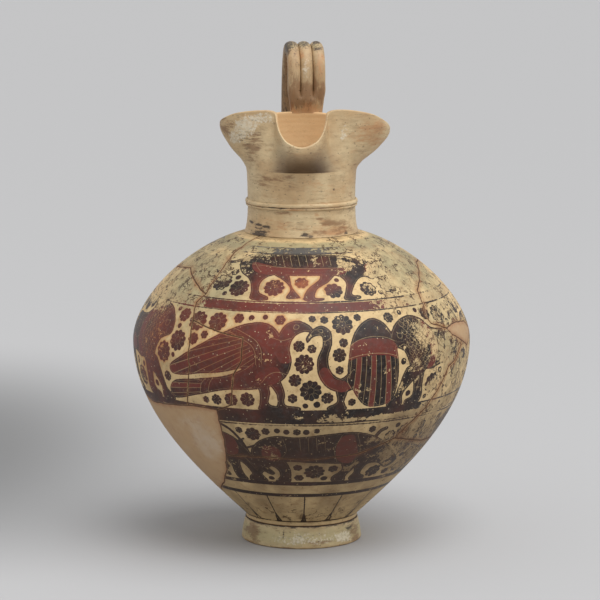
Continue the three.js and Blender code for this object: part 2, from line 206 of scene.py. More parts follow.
def spun(turn: Array, radius: float | Array, height: float | Array) -> Array:
    """The places at azimuths, radii and heights."""
    return np.stack([radius * np.sin(turn), -radius * np.cos(turn), height + 0 * turn], axis=-1)


def turns_and_radii(places: Array) -> tuple[Array, Array]:
    """The azimuths and the radii of places."""
    return np.arctan2(places[..., 0], -places[..., 1]), np.hypot(places[..., 0], places[..., 1])


# The body's wall and its breaks


@dataclass
class Wall:
    """The outline of the body's wall, from the edge of the base to the neck."""

    base_radius: float = 51.5
    start_height: float = 23.9
    under_height: float = 20.3
    belly_radius: float = 155.0
    belly_height: float = 187.0
    top_radius: float = 51.5
    top_height: float = 286.3
    thickness: float = 5.5
    steps: int = 400

    def __post_init__(self) -> None:
        """Works the outline out as arrays over the length along the wall."""
        start = np.array([self.base_radius, self.start_height])
        belly = np.array([self.belly_radius, self.belly_height])
        top = np.array([self.top_radius, self.top_height])
        rise = self.belly_height - self.start_height
        fall = self.top_height - self.belly_height
        lower = [start, start + (belly - start) * (0.45, 0.27), belly - (0, 0.4 * rise), belly]
        upper = [belly, belly + (0, 0.35 * fall), top + (belly - top) * (0.52, 0.13), top]
        path = np.vstack([self._arc(lower)[:-1], self._arc(upper)])
        step = np.linalg.norm(np.diff(path, axis=0), axis=1)
        self.length = np.concatenate([[0], np.cumsum(step)])
        self.radius, self.height = path[:, 0], path[:, 1]
        slope = np.gradient(path, self.length, axis=0)
        slope /= np.linalg.norm(slope, axis=1)[:, None]
        self.out_radius, self.out_height = slope[:, 1], -slope[:, 0]

    def _arc(self, corners: list[Array]) -> Array:
        """The points of a cubic arc with four corners."""
        t, (a, b, c, d) = np.linspace(0, 1, self.steps)[:, None], corners
        return a * (1 - t) ** 3 + 3 * b * t * (1 - t) ** 2 + 3 * c * t**2 * (1 - t) + d * t**3

    @property
    def end(self) -> float:
        """The length of the whole wall."""
        return float(self.length[-1])

    def length_at(self, height: float | Array) -> float | Array:
        """The length along the wall at a height."""
        return np.interp(height, self.height, self.length)

    def height_at(self, length: Array) -> Array:
        """The height at a length along the wall."""
        return np.interp(length, self.length, self.height)

    def radius_at(self, length: Array) -> Array:
        """The radius at a length along the wall."""
        return np.interp(length, self.length, self.radius)

    def place(self, azimuth: Array, length: Array, out: float | Array = 0.0) -> Array:
        """Finds places in space.

        Args:
            azimuth: the azimuth of each place, in radians.
            length: its length along the wall.
            out: how far it lies outside the wall's surface.

        Returns:
            The places, three coordinates each.
        """
        radius = self.radius_at(length) + out * np.interp(length, self.length, self.out_radius)
        height = self.height_at(length) + out * np.interp(length, self.length, self.out_height)
        return spun(azimuth, radius, height)


# Breaks, as points on the body: share of a half turn from the spout towards +X, share of the height
BREAKS: dict[str, Points] = {
    "left front": rows("""-0.261,1.02 -0.258,0.955 -0.242,0.91 -0.236,0.831 -0.249,0.804 -0.235,0.75
        -0.226,0.687 -0.222,0.587 -0.242,0.456"""),
    "left shoulder": rows("-0.236,0.831 -0.31,0.866 -0.378,0.892 -0.52,0.872 -0.678,0.808"),
    "left back": rows("-0.71,1.02 -0.689,0.907 -0.678,0.808 -0.622,0.656 -0.589,0.48 -0.561,0.36"),
    "front left": rows("""-0.235,0.75 -0.167,0.724 -0.112,0.71 -0.111,0.636 -0.127,0.586 -0.136,0.479
        -0.171,0.455"""),
    "front right": rows("""0.389,0.647 0.351,0.588 0.328,0.574 0.307,0.512 0.277,0.438 0.241,0.385
        0.218,0.34 0.133,0.294 0.022,0.279 -0.078,0.286 -0.189,0.28"""),
    "right shoulder": rows("""0.334,0.703 0.289,0.729 0.284,0.753 0.308,0.832 0.376,0.872 0.449,0.899
        0.578,0.892 0.655,0.808"""),
    "right side": rows("0.478,0.667 0.578,0.686 0.655,0.808"),
    "right back": rows("0.678,1.02 0.7,0.907 0.655,0.808 0.644,0.656 0.689,0.48 0.667,0.275"),
    "base": rows("""0.218,0.34 0.333,0.301 0.511,0.286 0.667,0.275 0.833,0.26 1,0.271 1.167,0.256
        1.333,0.271 1.45,0.23"""),
    "lower fill": rows("""-0.242,0.456 -0.211,0.458 -0.171,0.455 -0.172,0.399 -0.175,0.341 -0.189,0.28
        -0.217,0.213 -0.273,0.153 -0.383,0.098 -0.489,0.13 -0.55,0.23 -0.561,0.36 -0.467,0.442
        -0.383,0.431 -0.322,0.44 -0.242,0.456"""),
    "right fill": rows("""0.334,0.703 0.379,0.711 0.444,0.698 0.478,0.667 0.457,0.644 0.424,0.619
        0.389,0.647 0.349,0.678 0.334,0.703"""),
}
# What bounds each sherd and fill: the name of a break, and which of its points it follows
SHERDS: dict[str, tuple[tuple[str, int, int], ...]] = {
    "sherd_shoulder_left": (("left front", 0, 3), ("left shoulder", 0, 4), ("left back", 2, 0)),
    "sherd_side_left": (
        ("left shoulder", 0, 4), ("left back", 2, 5), ("lower fill", 11, 15), ("left front", 8, 3),
    ),
    "sherd_front_left": (("front left", 0, 6), ("lower fill", 2, 0), ("left front", 8, 5)),
    "sherd_front": (
        ("left front", 0, 5), ("front left", 0, 6), ("lower fill", 2, 5), ("front right", 10, 0),
        ("right fill", 6, 8), ("right shoulder", 0, 7), ("right back", 2, 0),
    ),
    "sherd_shoulder_right": (("right shoulder", 0, 7), ("right side", 2, 0), ("right fill", 3, 0)),
    "sherd_side_right": (
        ("right fill", 3, 6), ("front right", 0, 6), ("base", 0, 3), ("right back", 5, 2),
        ("right side", 2, 0),
    ),
    "sherd_back": (("right back", 0, 5), ("base", 3, 8), ("lower fill", 10, 11), ("left back", 5, 0)),
    "fill_lower_left": (("lower fill", 0, 15),),
    "fill_right_belly": (("right fill", 0, 8),),
}


# The painter's figures


@dataclass(frozen=True)
class Figure:
    """One painted animal, drawn in millimetres above its ground line, facing right.

    Attributes:
        outlines: closed outlines that the brush filled.
        strokes: open lines drawn with the brush, each with its width.
        maroon: closed outlines filled with added maroon.
        incised: open lines scratched through the paint.
        feathers: closed outlines with the point that their feathers fan out from and their pitch
            in degrees.
        scales: closed outlines covered with a net of scales.
    """

    outlines: tuple[Points, ...]
    strokes: tuple[tuple[float, Points], ...] = ()
    maroon: tuple[Points, ...] = ()
    incised: tuple[Points, ...] = ()
    feathers: tuple[tuple[Points, Pair, float], ...] = ()
    scales: tuple[Points, ...] = ()


EAGLE = Figure(
    outlines=drawn("""128,83 134,82 143,77 147,71 138,72 131,68 128,58 131,45 126,32 113,23 96,19 70,17
        38,9 8,3 4,11 10,19 40,25 72,31 92,41 106,54 115,68 120,79 / 120,60 115,72 103,80 86,79 66,70
        44,57 22,44 6,33 8,27 22,26 44,30 66,33 86,38 100,40 112,46 / 106,30 111,18 109,6 121,3 121,0 98,0
        100,6 101,18 97,28 / 119,30 124,17 123,6 136,3 136,0 113,0 116,6 116,16 110,27"""),
    maroon=drawn("""120,60 115,72 103,80 86,79 74,73 84,68 96,64 104,56 106,46 112,46 / 118,78 110,62
        116,52 122,44 131,46 128,58 131,68 126,74 / 98,30 112,24 122,32 118,40 106,38"""),
    incised=drawn("""74,74 88,68 98,62 103,54 104,44 / 68,71 84,64 94,58 98,51 99,42 / 50,27 44,20 42,11 /
        58,29 53,21 51,13 / 112,66 120,64 127,66 / 104,26 110,33 118,36 126,34 / 128,79 132,78 132,75
        128,75 128,79"""),
    feathers=((rows("70,71 84,63 93,57 97,50 97,40 66,33 44,30 22,26 8,27 6,33 22,44 44,57"), (150, 84), 3),
              (rows("42,26 8,20 3,11 8,2 42,10"), (150, 30), 2.1),),
)

WATERBIRD = Figure(
    outlines=drawn("""4,34 6,52 12,68 22,79 33,83 44,77 51,62 54,44 54,24 50,8 42,2 24,2 15,10 8,22 /
        10,20 0,17 -13,21 -22,33 -23,47 -17,60 -17,68 -24,67 -30,62 -31,65 -24,74 -15,78 -8,73 -8,62
        -13,48 -11,37 -2,30 8,36 / -6,20 -4,8 -12,3 -12,0 6,0 3,8 5,20"""),
    maroon=drawn("""5,46 6,56 13,62 26,64 40,63 51,59 54,44 46,47 30,49 16,48 / -22,34 -13,22 0,17 8,21
        2,27 -8,30 -12,38 -18,40"""),
    incised=drawn("""5,47 16,49.5 30,50.5 46,48.5 55,45 / 7,58 16,63 28,65.5 42,64 51,60 / 8,36 4,28 8,20
        / -20,66 -15,63 -9,66 / -18,74 -15,74 -15,71 -18,72"""),
    feathers=((rows("4,46 16,48 30,49 46,47 56,44 54,24 50,8 42,1 24,1 14,10 8,22"), (31, 260), 1.25),),
)

LION = Figure(
    outlines=drawn("""97,56 96,64 90,72 80,79 66,82 54,77 46,68 34,65 18,64 8,56 4,44 7,32 5,20 0,9 2,0
        20,0 20,4 13,8 17,20 24,30 36,33 52,30 60,30 62,18 60,8 62,0 80,0 80,4 73,8 74,20 78,32 82,42
        86,50 / 66,30 74,22 84,10 82,0 99,0 99,4 93,9 90,20 82,36 / 16,36 26,24 28,10 26,0 43,0 43,4 37,8
        36,20 30,36"""),
    strokes=((3.6, rows("9,56 -2,52 -8,60 -5,72 4,76 9,71")),),
    maroon=drawn("""47,66 43,54 44,42 50,33 58,31 54,42 53,54 57,66 56,76 / 24,46 34,44 40,37 36,34 26,33
        19,38"""),
    incised=drawn("""57,75 53,62 52,50 55,38 60,31 / 47,67 42,54 43,42 50,32 / 8,50 18,50 25,42 22,31 /
        83,66 88,66 88,62 84,62 83,66 / 90,54 84,56 80,52 / 30,62 31,52 / 35,62 36,52 / 40,62 41,51 /
        12,26 16,16 / 67,26 68,12"""),
    scales=drawn("58,32 54,44 54,58 58,74 66,82 78,79 82,70 78,58 79,46 78,34 68,30"),
)

GOAT = Figure(
    outlines=drawn("""78,34 82,26 90,16 97,10 101,13 97,23 91,34 87,46 80,58 68,64 50,62 30,63 14,62 5,52
        3,40 7,30 5,18 1,8 2,0 12,0 12,10 16,22 24,32 40,34 56,31 60,20 58,8 59,0 69,0 69,10 72,24 / 18,34
        27,22 26,8 28,0 38,0 37,10 38,22 32,36 / 68,34 76,22 78,8 80,0 89,0 88,9 85,22 78,38"""),
    strokes=((3, rows("88,38 86,54 78,68 64,74 50,70")), (3, rows("5,52 -2,48 -3,40")),),
    maroon=drawn("66,62 60,50 60,38 68,34 76,38 80,48 78,58 / 10,54 18,48 20,38 12,36 6,42"),
    incised=drawn("""58,62 56,48 60,34 / 66,63 62,50 64,36 / 22,56 24,46 20,36 / 30,60 32,50 / 36,60 38,50
        / 42,60 44,50 / 48,60 50,50 / 92,20 94,22 96,20"""),
)

PANTHER = Figure(
    outlines=drawn("""122,40 130,44 138,42 141,33 138,24 131,20 123,24 117,22 112,14 110,5 118,3 118,0
        102,0 103,8 104,18 98,26 80,28 56,28 38,28 28,20 26,8 34,3 34,0 17,0 18,10 16,22 8,30 6,42 12,52
        26,57 52,58 82,57 106,53 117,46 / 94,30 88,20 78,12 76,3 84,2 84,0 66,0 69,12 80,24 82,34 / 36,32
        48,22 54,12 50,2 66,2 66,0 56,14 52,30"""),
    strokes=(
        (3.4, rows("8,46 -4,42 -12,46 -16,56 -10,62")),
        (4, rows("125,42 124,47")),
        (4, rows("136,41 138,46")),
    ),
    maroon=drawn("""20,44 40,40 66,38 92,38 108,36 100,28 80,28 50,28 32,29 20,34 / 124,38 130,42 136,38
        134,30 127,28"""),
    incised=drawn("""14,42 40,39.5 66,37.5 92,37.5 110,37 / 112,50 108,40 104,28 / 40,57 42,42 / 47,57
        49,42 / 54,57 56,41 / 61,57 63,41 / 68,57 70,41 / 75,57 77,41 / 82,56 84,41 / 89,55 91,41 / 126,34
        129,36 129,33 / 134,34 136,36 136,33 / 28,55 22,44 26,34"""),
)

BOAR = Figure(
    outlines=drawn("""138,16 141,21 136,30 126,42 112,54 92,61 66,60 42,57 22,58 8,51 3,38 8,26 10,14 5,6
        6,0 20,0 20,5 16,8 22,20 34,27 56,26 78,24 92,22 96,12 92,4 93,0 107,0 107,5 103,8 108,20 118,20
        128,12 / 14,26 28,18 32,8 29,0 42,0 42,6 40,18 32,30 / 82,30 84,16 76,6 77,0 89,0 89,6 96,18
        98,30"""),
    strokes=(
        (4, rows("110,52 116,60 121,62")),
        (2.6, rows("6,46 -5,42 -9,48 -5,53")),
        (2.2, rows("126,16 132,24 130,28")),
    ),
    maroon=drawn("80,56 76,42 80,28 90,24 96,34 94,48 90,58 / 14,46 26,44 30,34 24,28 14,34"),
    incised=drawn("""80,58 75,42 79,26 / 94,58 98,42 94,26 / 30,54 34,40 28,28 / 44,55 46,42 / 51,56 53,42
        / 58,56 60,42 / 65,57 67,42 / 118,36 124,36 / 100,60 114,50 128,36"""),
)


@dataclass(frozen=True)
class Placed:
    """A figure on the jug.

    Attributes:
        azimuth: the azimuth of its middle, in degrees.
        middle: the middle of the figure along its ground line.
        scale: the size at which it is painted, as a share of the drawing's.
        mirrored: whether it faces left.
    """

    figure: Figure
    azimuth: float
    middle: float
    scale: float = 1.0
    mirrored: bool = False


@dataclass(frozen=True)
class Frieze:
    """A zone of figures between two heights, filled up with rosettes.

    Attributes:
        low: the height of the ground line.
        high: the height of the upper edge.
        figures: the animals in it.
        largest: the radius of its largest rosettes.
        seed: fixes where the rosettes fall.
    """

    low: float
    high: float
    figures: tuple[Placed, ...]
    largest: float
    seed: int


FRIEZES = (
    Frieze(241.5, 279.5, (
        Placed(PANTHER, 1, 66), Placed(GOAT, 78, 48, 0.78, True), Placed(PANTHER, 150, 66, 0.95),
        Placed(LION, -128, 48, 0.74), Placed(GOAT, -66, 48, 0.74),
    ), 13.0, 5),
    Frieze(147.0, 231.0, (
        Placed(EAGLE, -25, 72), Placed(WATERBIRD, 21, 20), Placed(LION, 50, 48, 1.0, True),
        Placed(LION, -71, 48, 1.1), Placed(GOAT, 92, 48, 1.12), Placed(EAGLE, 138, 72, 1.0, True),
        Placed(WATERBIRD, -176, 14, 1.0, True), Placed(GOAT, -146, 48, 1.1, True),
        Placed(WATERBIRD, -108, 14),
    ), 11.0, 11),
    Frieze(72.5, 130.5, (
        Placed(BOAR, 10, 68, 1.05), Placed(GOAT, -40, 48, 0.98), Placed(LION, 82, 48, 0.86, True),
        Placed(BOAR, 142, 68, 0.95, True), Placed(LION, -150, 48, 0.86), Placed(GOAT, -96, 48, 0.95, True),
    ), 9.5, 23),
)


# The painted surface


class Field(Enum):
    """What is known at each point of the body, and becomes an attribute of its meshes."""

    FIGURE = "figure"
    MAROON = "maroon"
    INCISED = "incised"
    BARBS = "barbs"
    BARB_ZONE = "barb_zone"
    BAND = "band"
    LINE = "line"
    WEAR = "wear"
    FIRE = "fire"
    TONE = "tone"
    CRACK = "crack"

    @property
    def empty(self) -> float:
        """Its value where nothing is painted."""
        if self in (Field.INCISED, Field.CRACK):
            return FAR
        return 0.0 if self in (Field.BARBS, Field.WEAR, Field.FIRE, Field.TONE) else -FAR


@dataclass
class Canvas:
    """The body's outside as a fine grid along its wall, and the fields painted on it."""

    wall: Wall
    columns: int = 840
    rows: int = 290

    def __post_init__(self) -> None:
        """Lays the grid out and starts every field empty."""
        self.turns = TURN * np.arange(self.columns) / self.columns - math.pi
        self.lengths = np.linspace(0, self.wall.end, self.rows)
        self.azimuth, self.length = np.meshgrid(self.turns, self.lengths)
        self.radius, self.height = self.wall.radius_at(self.length), self.wall.height_at(self.length)
        self.fields = {name: np.full(self.length.shape, name.empty) for name in Field}

    def window(self, azimuth: float, low: float, corners: tuple[float, ...], mirrored: bool = False,
               scale: float = 1.0) -> tuple[Array, Array]:
        """Finds the grid points under a drawing.

        Args:
            azimuth: where the drawing's x is nought, in radians.
            low: the length along the wall where its y is nought.
            corners: its least x and y and its greatest x and y.
            mirrored: whether the drawing is turned to face left.
            scale: the size at which it is painted.

        Returns:
            The numbers of the grid points, and their places in the drawing.
        """
        x0, y0, x1, y1 = corners
        y = (self.lengths - low) / scale
        rows = np.flatnonzero((y >= y0) & (y <= y1))
        turn = (self.turns - azimuth + math.pi) % TURN - math.pi
        x = turn[None] * self.wall.radius_at(self.lengths[rows])[:, None] / scale
        x = -x if mirrored else x
        row, column = np.nonzero((x >= x0) & (x <= x1))
        places = np.stack([x[row, column], y[rows[row]]], axis=1)
        return rows[row] * self.columns + column, places

    def fill(self, name: Field, numbers: Array, values: Array) -> None:
        """Adds an area to a field of signed distances."""
        flat = self.fields[name].reshape(-1)
        flat[numbers] = np.maximum(flat[numbers], np.clip(values, -FAR, FAR))

    def scratch(self, numbers: Array, values: Array) -> None:
        """Adds a line to the incised lines, where it is the nearest one."""
        flat = self.fields[Field.INCISED].reshape(-1)
        flat[numbers] = np.where(np.abs(values) < np.abs(flat[numbers]), values, flat[numbers])


@dataclass
class FigurePainter:
    """Paints one animal with everything on it.

    Attributes:
        canvas: what it paints on.
        placed: the animal.
        low: its ground line, as a length along the wall.
        scale_rise: how far one row of scales stands above another, as a share of that.
        fineness: how much finer than a plain line its lines are incised.
    """

    canvas: Canvas
    placed: Placed
    low: float
    scale_pitch: float = 5.2
    scale_rise: float = 0.72
    fineness: float = 1.3

    def paint(self) -> None:
        """Paints all of it."""
        figure = self.placed.figure
        for outline in figure.outlines:
            self._area(Field.FIGURE, outline, FAR)
        for width, line in figure.strokes:
            self._stroke(width, line)
        for outline in figure.maroon:
            self._area(Field.MAROON, outline, 4)
        for outline, centre, pitch in figure.feathers:
            self._feather(outline, centre, pitch)
        for outline in figure.scales:
            self._scales(outline)
        for line in figure.incised:
            self._incise(smooth_path(line, False, 5), 4)

    def _near(self, path: Array, margin: float) -> tuple[Array, Array]:
        """Finds the grid points near a path.

        Args:
            path: the points of the path, in the drawing.
            margin: how far from the path to look.

        Returns:
            The numbers of the grid points, and their places in the drawing.
        """
        placed, (x0, y0), (x1, y1) = self.placed, path.min(0) - margin, path.max(0) + margin
        corners = (x0 - placed.middle, y0, x1 - placed.middle, y1)
        azimuth = math.radians(placed.azimuth)
        numbers, places = self.canvas.window(azimuth, self.low, corners, placed.mirrored, placed.scale)
        return numbers, places + (placed.middle, 0)

    def _area(self, name: Field, outline: Points, margin: float) -> tuple[Array, Array, Array]:
        """Fills an outline in a field.

        Args:
            name: the field.
            outline: the outline.
            margin: how far round it the field is set.

        Returns:
            The numbers of the grid points, their places in the drawing, and their distances inside it.
        """
        path = smooth_path(outline, True, 5)
        numbers, places = self._near(path, margin)
        zone = area_distance(places, path) * self.placed.scale
        self.canvas.fill(name, numbers, zone)
        return numbers, places, zone

    def _incise(self, path: Array, margin: float) -> None:
        """Scratches a line through the paint.

        Args:
            path: the line's points.
            margin: how far beside it the grid points are told about it.
        """
        numbers, places = self._near(path, margin)
        away, side = line_distance(places, path, False)
        self.canvas.scratch(numbers, away * side * self.placed.scale * self.fineness)

    def _stroke(self, width: float, line: Points) -> None:
        """Draws a line with the brush.

        Args:
            width: the brush's width.
            line: the line's points.
        """
        path = smooth_path(line, False, 6)
        numbers, places = self._near(path, FAR)
        away, _ = line_distance(places, path, False)
        self.canvas.fill(Field.FIGURE, numbers, (width / 2 - away) * self.placed.scale)

    def _feather(self, outline: Points, centre: Pair, pitch: float) -> None:
        """Marks an area whose incised lines fan out.

        Args:
            outline: the outline of the area.
            centre: the point that they fan out from.
            pitch: how many degrees lie between them.
        """
        numbers, places, zone = self._area(Field.BARB_ZONE, outline, 3)
        away = places - centre
        ahead = smooth_path(outline, True, 5).mean(0) - centre
        angle = np.degrees(np.arctan2(ahead[0] * away[:, 1] - ahead[1] * away[:, 0], away @ ahead))
        covered = zone > -2.5
        self.canvas.fields[Field.BARBS].reshape(-1)[numbers[covered]] = angle[covered] / pitch

    def _scales(self, outline: Points) -> None:
        """Covers an area with rows of incised arcs.

        Args:
            outline: the outline of the area.
        """
        path = smooth_path(outline, True, 5)
        (x0, y0), (x1, y1) = path.min(0), path.max(0)
        pitch, rise = self.scale_pitch, self.scale_rise * self.scale_pitch
        bend = np.linspace(0, math.pi, 7)
        arc = np.stack([np.cos(bend), -np.sin(bend)], axis=1) * pitch * (0.5, 0.62)
        for row in range(int((y1 - y0) / rise) + 1):
            for column in range(int((x1 - x0) / pitch) + 2):
                middle = np.array([[x0 + (column - row % 2 / 2) * pitch, y0 + row * rise]])
                if inside(middle, path)[0]:
                    self._incise(arc + middle, 2.5)


@dataclass
class Painter:
    """Draws the friezes, the borders and the rays on the canvas.

    Attributes:
        ray_head: the height where the rays have thinned out to stems.
        spacing: the free ground round a rosette.
        contour: how far inside its edge a figure's incised contour runs.
        contour_fineness: how much finer than a plain line it is, as for the petals.
    """

    canvas: Canvas
    ray_count: int = 15
    ray_turn: float = math.radians(2.0)
    ray_top: float = 56.7
    ray_head: float = 38.0
    ray_foot: float = 24.5
    smallest: float = 2.3
    spacing: float = 2.1
    contour: float = 1.5
    contour_fineness: float = 2.8
    petal_fineness: float = 3.0

    def rosette(self, azimuth: float, length: float, radius: float, turn: float) -> None:
        """Paints one rosette: petals parted by incised lines, or a dot where it is small.

        Args:
            azimuth: where it is, in radians.
            length: its place along the wall.
            radius: how large it is.
            turn: how far its petals are turned.
        """
        margin = radius + FAR
        numbers, places = self.canvas.window(azimuth, length, (-margin, -margin, margin, margin))
        away = np.hypot(places[:, 0], places[:, 1])
        angle = np.arctan2(places[:, 1], places[:, 0]) + turn
        petals = 10 if radius > 8.5 else 8 if radius > 5 else 6
        dot = radius < 3.4
        lobed = 0.0 if dot else 0.15
        rim = radius * (1 - lobed * np.abs(np.cos(angle * petals / 2)) ** 4)
        self.canvas.fill(Field.FIGURE, numbers, rim - away)
        if dot:
            return
        # A triangle wave, so that neighbouring lines share no false crossing
        phase = (angle * petals / TURN) % 2
        spoke = away * np.abs((phase + 0.5) % 2 - 1) * TURN / petals - away * math.pi / petals
        heart = away - 0.3 * radius
        petal = (away < rim + 1) & (heart > 0)
        self.canvas.scratch(numbers[petal], self.petal_fineness * spoke[petal])
        if petals == 10:
            core = away < 0.55 * radius
            self.canvas.scratch(numbers[core], self.petal_fineness * heart[core])

    def outline_figures(self, low: float, high: float) -> None:
        """Scratches a fine contour just inside the outlines of figures.

        Args:
            low: where they start, as a length along the wall.
            high: where they end.
        """
        within = (self.canvas.length > low) & (self.canvas.length < high)
        numbers = np.flatnonzero(within & (self.canvas.fields[Field.FIGURE] > -2))
        edge = self.canvas.fields[Field.FIGURE].reshape(-1)[numbers] - self.contour
        self.canvas.scratch(numbers, self.contour_fineness * edge)

    def fill_rosettes(self, frieze: Frieze, low: float, high: float) -> int:
        """Fills the free ground of a frieze with rosettes, the largest first.

        Args:
            frieze: the frieze.
            low: where it starts, as a length along the wall.
            high: where it ends.

        Returns:
            How many rosettes it took.
        """
        canvas = self.canvas
        chance = np.random.default_rng(frieze.seed)
        rows = np.flatnonzero((canvas.lengths > low) & (canvas.lengths < high))
        border = np.minimum(canvas.lengths[rows] - low, high - canvas.lengths[rows])[:, None] + 0.6
        uneven = 0.8 * chance.random((len(rows), canvas.columns))
        count = 0
        for count in range(900):
            free = np.minimum(-canvas.fields[Field.FIGURE][rows], border)
            row, column = divmod(int((free + uneven).argmax()), canvas.columns)
            radius = min(free[row, column] - self.spacing, frieze.largest)
            if radius < self.smallest:
                break
            self.rosette(canvas.turns[column], canvas.lengths[rows[row]], radius, chance.uniform(0, TURN))
        return count

    def band(self, name: Field, low: float, high: float) -> None:
        """Paints a band with the unsteady edge of a brush.

        Args:
            name: the field that it goes into.
            low: the height of its lower edge.
            high: the height of its upper edge.
        """
        canvas = self.canvas
        sway = 0.35 * ripple(canvas.azimuth * 150, canvas.height, 160, int(low * 10))
        s0, s1 = canvas.wall.length_at(low), canvas.wall.length_at(high)
        edge = np.minimum(canvas.length - s0, s1 - canvas.length) + sway
        canvas.fields[name] = np.maximum(canvas.fields[name], np.clip(edge, -FAR, FAR))

    def rays(self) -> None:
        """Paints the rays that rise from the foot: a small point on the foot and a thin stem."""
        canvas = self.canvas
        foot, head, top = (canvas.wall.length_at(z) for z in (self.ray_foot, self.ray_head, self.ray_top))
        for number in range(self.ray_count):
            azimuth = self.ray_turn + TURN * number / self.ray_count
            numbers, places = canvas.window(azimuth, foot, (-8, -2, 8, top - foot + 2))
            across, up = np.abs(places[:, 0]), places[:, 1]
            rise = np.clip(up / (head - foot), 0, 1)
            half = np.maximum(2.9 * (1 - rise), 0.55)
            canvas.fill(Field.LINE, numbers, np.minimum(half - across, np.minimum(up, top - foot - up)))

    def paint(self) -> None:
        """Paints everything."""
        for frieze in FRIEZES:
            low, high = (float(self.canvas.wall.length_at(height)) for height in (frieze.low, frieze.high))
            for placed in frieze.figures:
                FigurePainter(self.canvas, placed, low).paint()
            self.outline_figures(low, high)
            log.info("%d rosettes above height %.0f", self.fill_rosettes(frieze, low, high), frieze.low)
        self.band(Field.BAND, 232.2, 239.0)
        for height, half in rows("277.8,2.4 239.8,0.6 231.6,0.5 140.2,6.6 131.8,0.6 70.4,2 57,1.9 25.2,0.6"):
            self.band(Field.LINE, height - half, height + half)
        self.rays()


# Soft spots of a field: azimuth in degrees, height, half width, half height, amount.
# Where the paint is lost
WORN = """64,165,58,60,0.5 50,100,44,34,0.35 36,222,16,8,0.25 14,178,14,20,0.1 -62,190,38,40,0.1
    0,277.8,170,4,0.12 52,254,40,20,0.65 -12,262,40,10,0.05 95,215,46,40,0.4 150,180,70,50,0.3
    -120,150,60,50,0.3 0,33,170,12,0.32 -56,256,36,18,0.65 64,235.5,52,7,0.42 0,57,170,3,0.05
    40,136.2,62,2.8,0.85 -66,236,50,9,0.7 -78,256,44,22,0.6 84,262,46,22,0.6 -64,277,44,8,0.75
    62,277,48,9,0.75"""
# Where the kiln left the black paint red: 0 is black, 1 is orange brown
REDDENED = """-25,195,58,46,0.62 -62,190,40,60,0.6 -8,222,24,16,0.35 2,252,40,12,0.75 -10,105,34,22,0.1
    40,190,26,30,0.15 -150,180,90,60,0.45 120,120,60,40,0.3 -3,232,14,7,0.4"""
# Where the ground is browner, above nought, or paler and more olive, below it
TONED = """-48,240,60,34,-0.7 -60,180,44,44,0.4 60,200,46,50,-0.5 -20,95,70,24,0.3 0,44,170,30,0.45
    -25,185,40,40,0.2 150,200,70,60,0.35 0,285.5,170,2,0.8 0,281,170,4,-0.75 24,98,70,26,0.6
    50,130,30,40,0.4 -41,108,24,24,-1.7 70,262,60,18,-0.6 -70,262,50,16,-0.4"""


def weather(canvas: Canvas) -> None:
    """Sets how worn, how reddened and how toned each point is.

    Args:
        canvas: the canvas of those points.
    """
    for name, spots, start, wavelength, swing in (
        (Field.WEAR, WORN, 0.16, 64, 0.2),
        (Field.FIRE, REDDENED, 0, 90, 0.22),
        (Field.TONE, TONED, 0, 120, 0.25),
    ):
        uneven = ripple(canvas.azimuth * 140, canvas.length, wavelength, 31 + len(name.value))
        canvas.fields[name] = start + swing * uneven
        for azimuth, height, across, tall, amount in rows(spots):
            turn = (canvas.azimuth - math.radians(azimuth) + math.pi) % TURN - math.pi
            aside, above = turn * canvas.radius / across, (canvas.height - height) / tall
            canvas.fields[name] += amount * np.exp(-(aside**2) - above**2)


# Making meshes


@dataclass
class Surface:
    """A mesh in the making.

    Attributes:
        points: its points, in millimetres.
        faces: its faces, as numbers of points.
        values: its attributes, a number for each point.
    """

    points: Array
    faces: list[list[int]]
    values: dict[str, Array] = field(default_factory=dict)

    def to_object(self, name: str, material: bpy.types.Material, sharp: float = 42.0) -> bpy.types.Object:
        """Makes the object.

        Args:
            name: its name.
            material: its material.
            sharp: edges that bend by more degrees than this stay sharp.

        Returns:
            The object, linked to the scene.
        """
        mesh = bpy.data.meshes.new(name)
        mesh.from_pydata((self.points * MM).tolist(), [], self.faces)
        mesh.materials.append(material)
        for label, numbers in self.values.items():
            layer = mesh.attributes.new(label, "FLOAT", "POINT")
            layer.data.foreach_set("value", np.asarray(numbers, np.float32))
        mesh.shade_smooth()
        mesh.set_sharp_from_angle(angle=math.radians(sharp))
        mesh.update()
        piece = bpy.data.objects.new(name, mesh)
        bpy.context.scene.collection.objects.link(piece)
        return piece


def loft(sections: Array, capped: bool, joined: bool = False) -> Surface:
    """Joins rings of points.

    Args:
        sections: the rings, each with as many points, running round in the same sense.
        capped: whether a face closes each end.
        joined: whether the last ring joins the first.

    Returns:
        The surface.
    """
    count, around = sections.shape[:2]
    row = np.arange(count if joined else count - 1)[:, None] * around
    next_row = (row + around) % (count * around)
    here, there = np.arange(around), (np.arange(around) + 1) % around
    faces = np.stack([row + here, row + there, next_row + there, next_row + here], axis=-1)
    faces = faces.reshape(-1, 4).tolist()
    if capped:
        faces.append(list(range(around))[::-1])
        faces.append(list(range((count - 1) * around, count * around)))
    return Surface(sections.reshape(-1, 3), faces)


def turned(outline: Array, columns: int = 300) -> Array:
    """An outline of radii and heights, turned about the jug's axis as rings for a loft."""
    return spun(TURN * np.arange(columns) / columns, outline[:, 0, None], outline[:, 1, None])


def hand_in(piece: bpy.types.Object, slot: Slot, *nodes: str) -> None:
    """Hangs a piece on the root and hides the nodes that it stands for.

    Args:
        piece: the piece.
        slot: its material slot; not used.
        nodes: the nodes.
    """
    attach(piece, "root")
    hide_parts(*nodes)
    log.info("%s: %d faces", piece.name, len(piece.data.polygons))


# The body


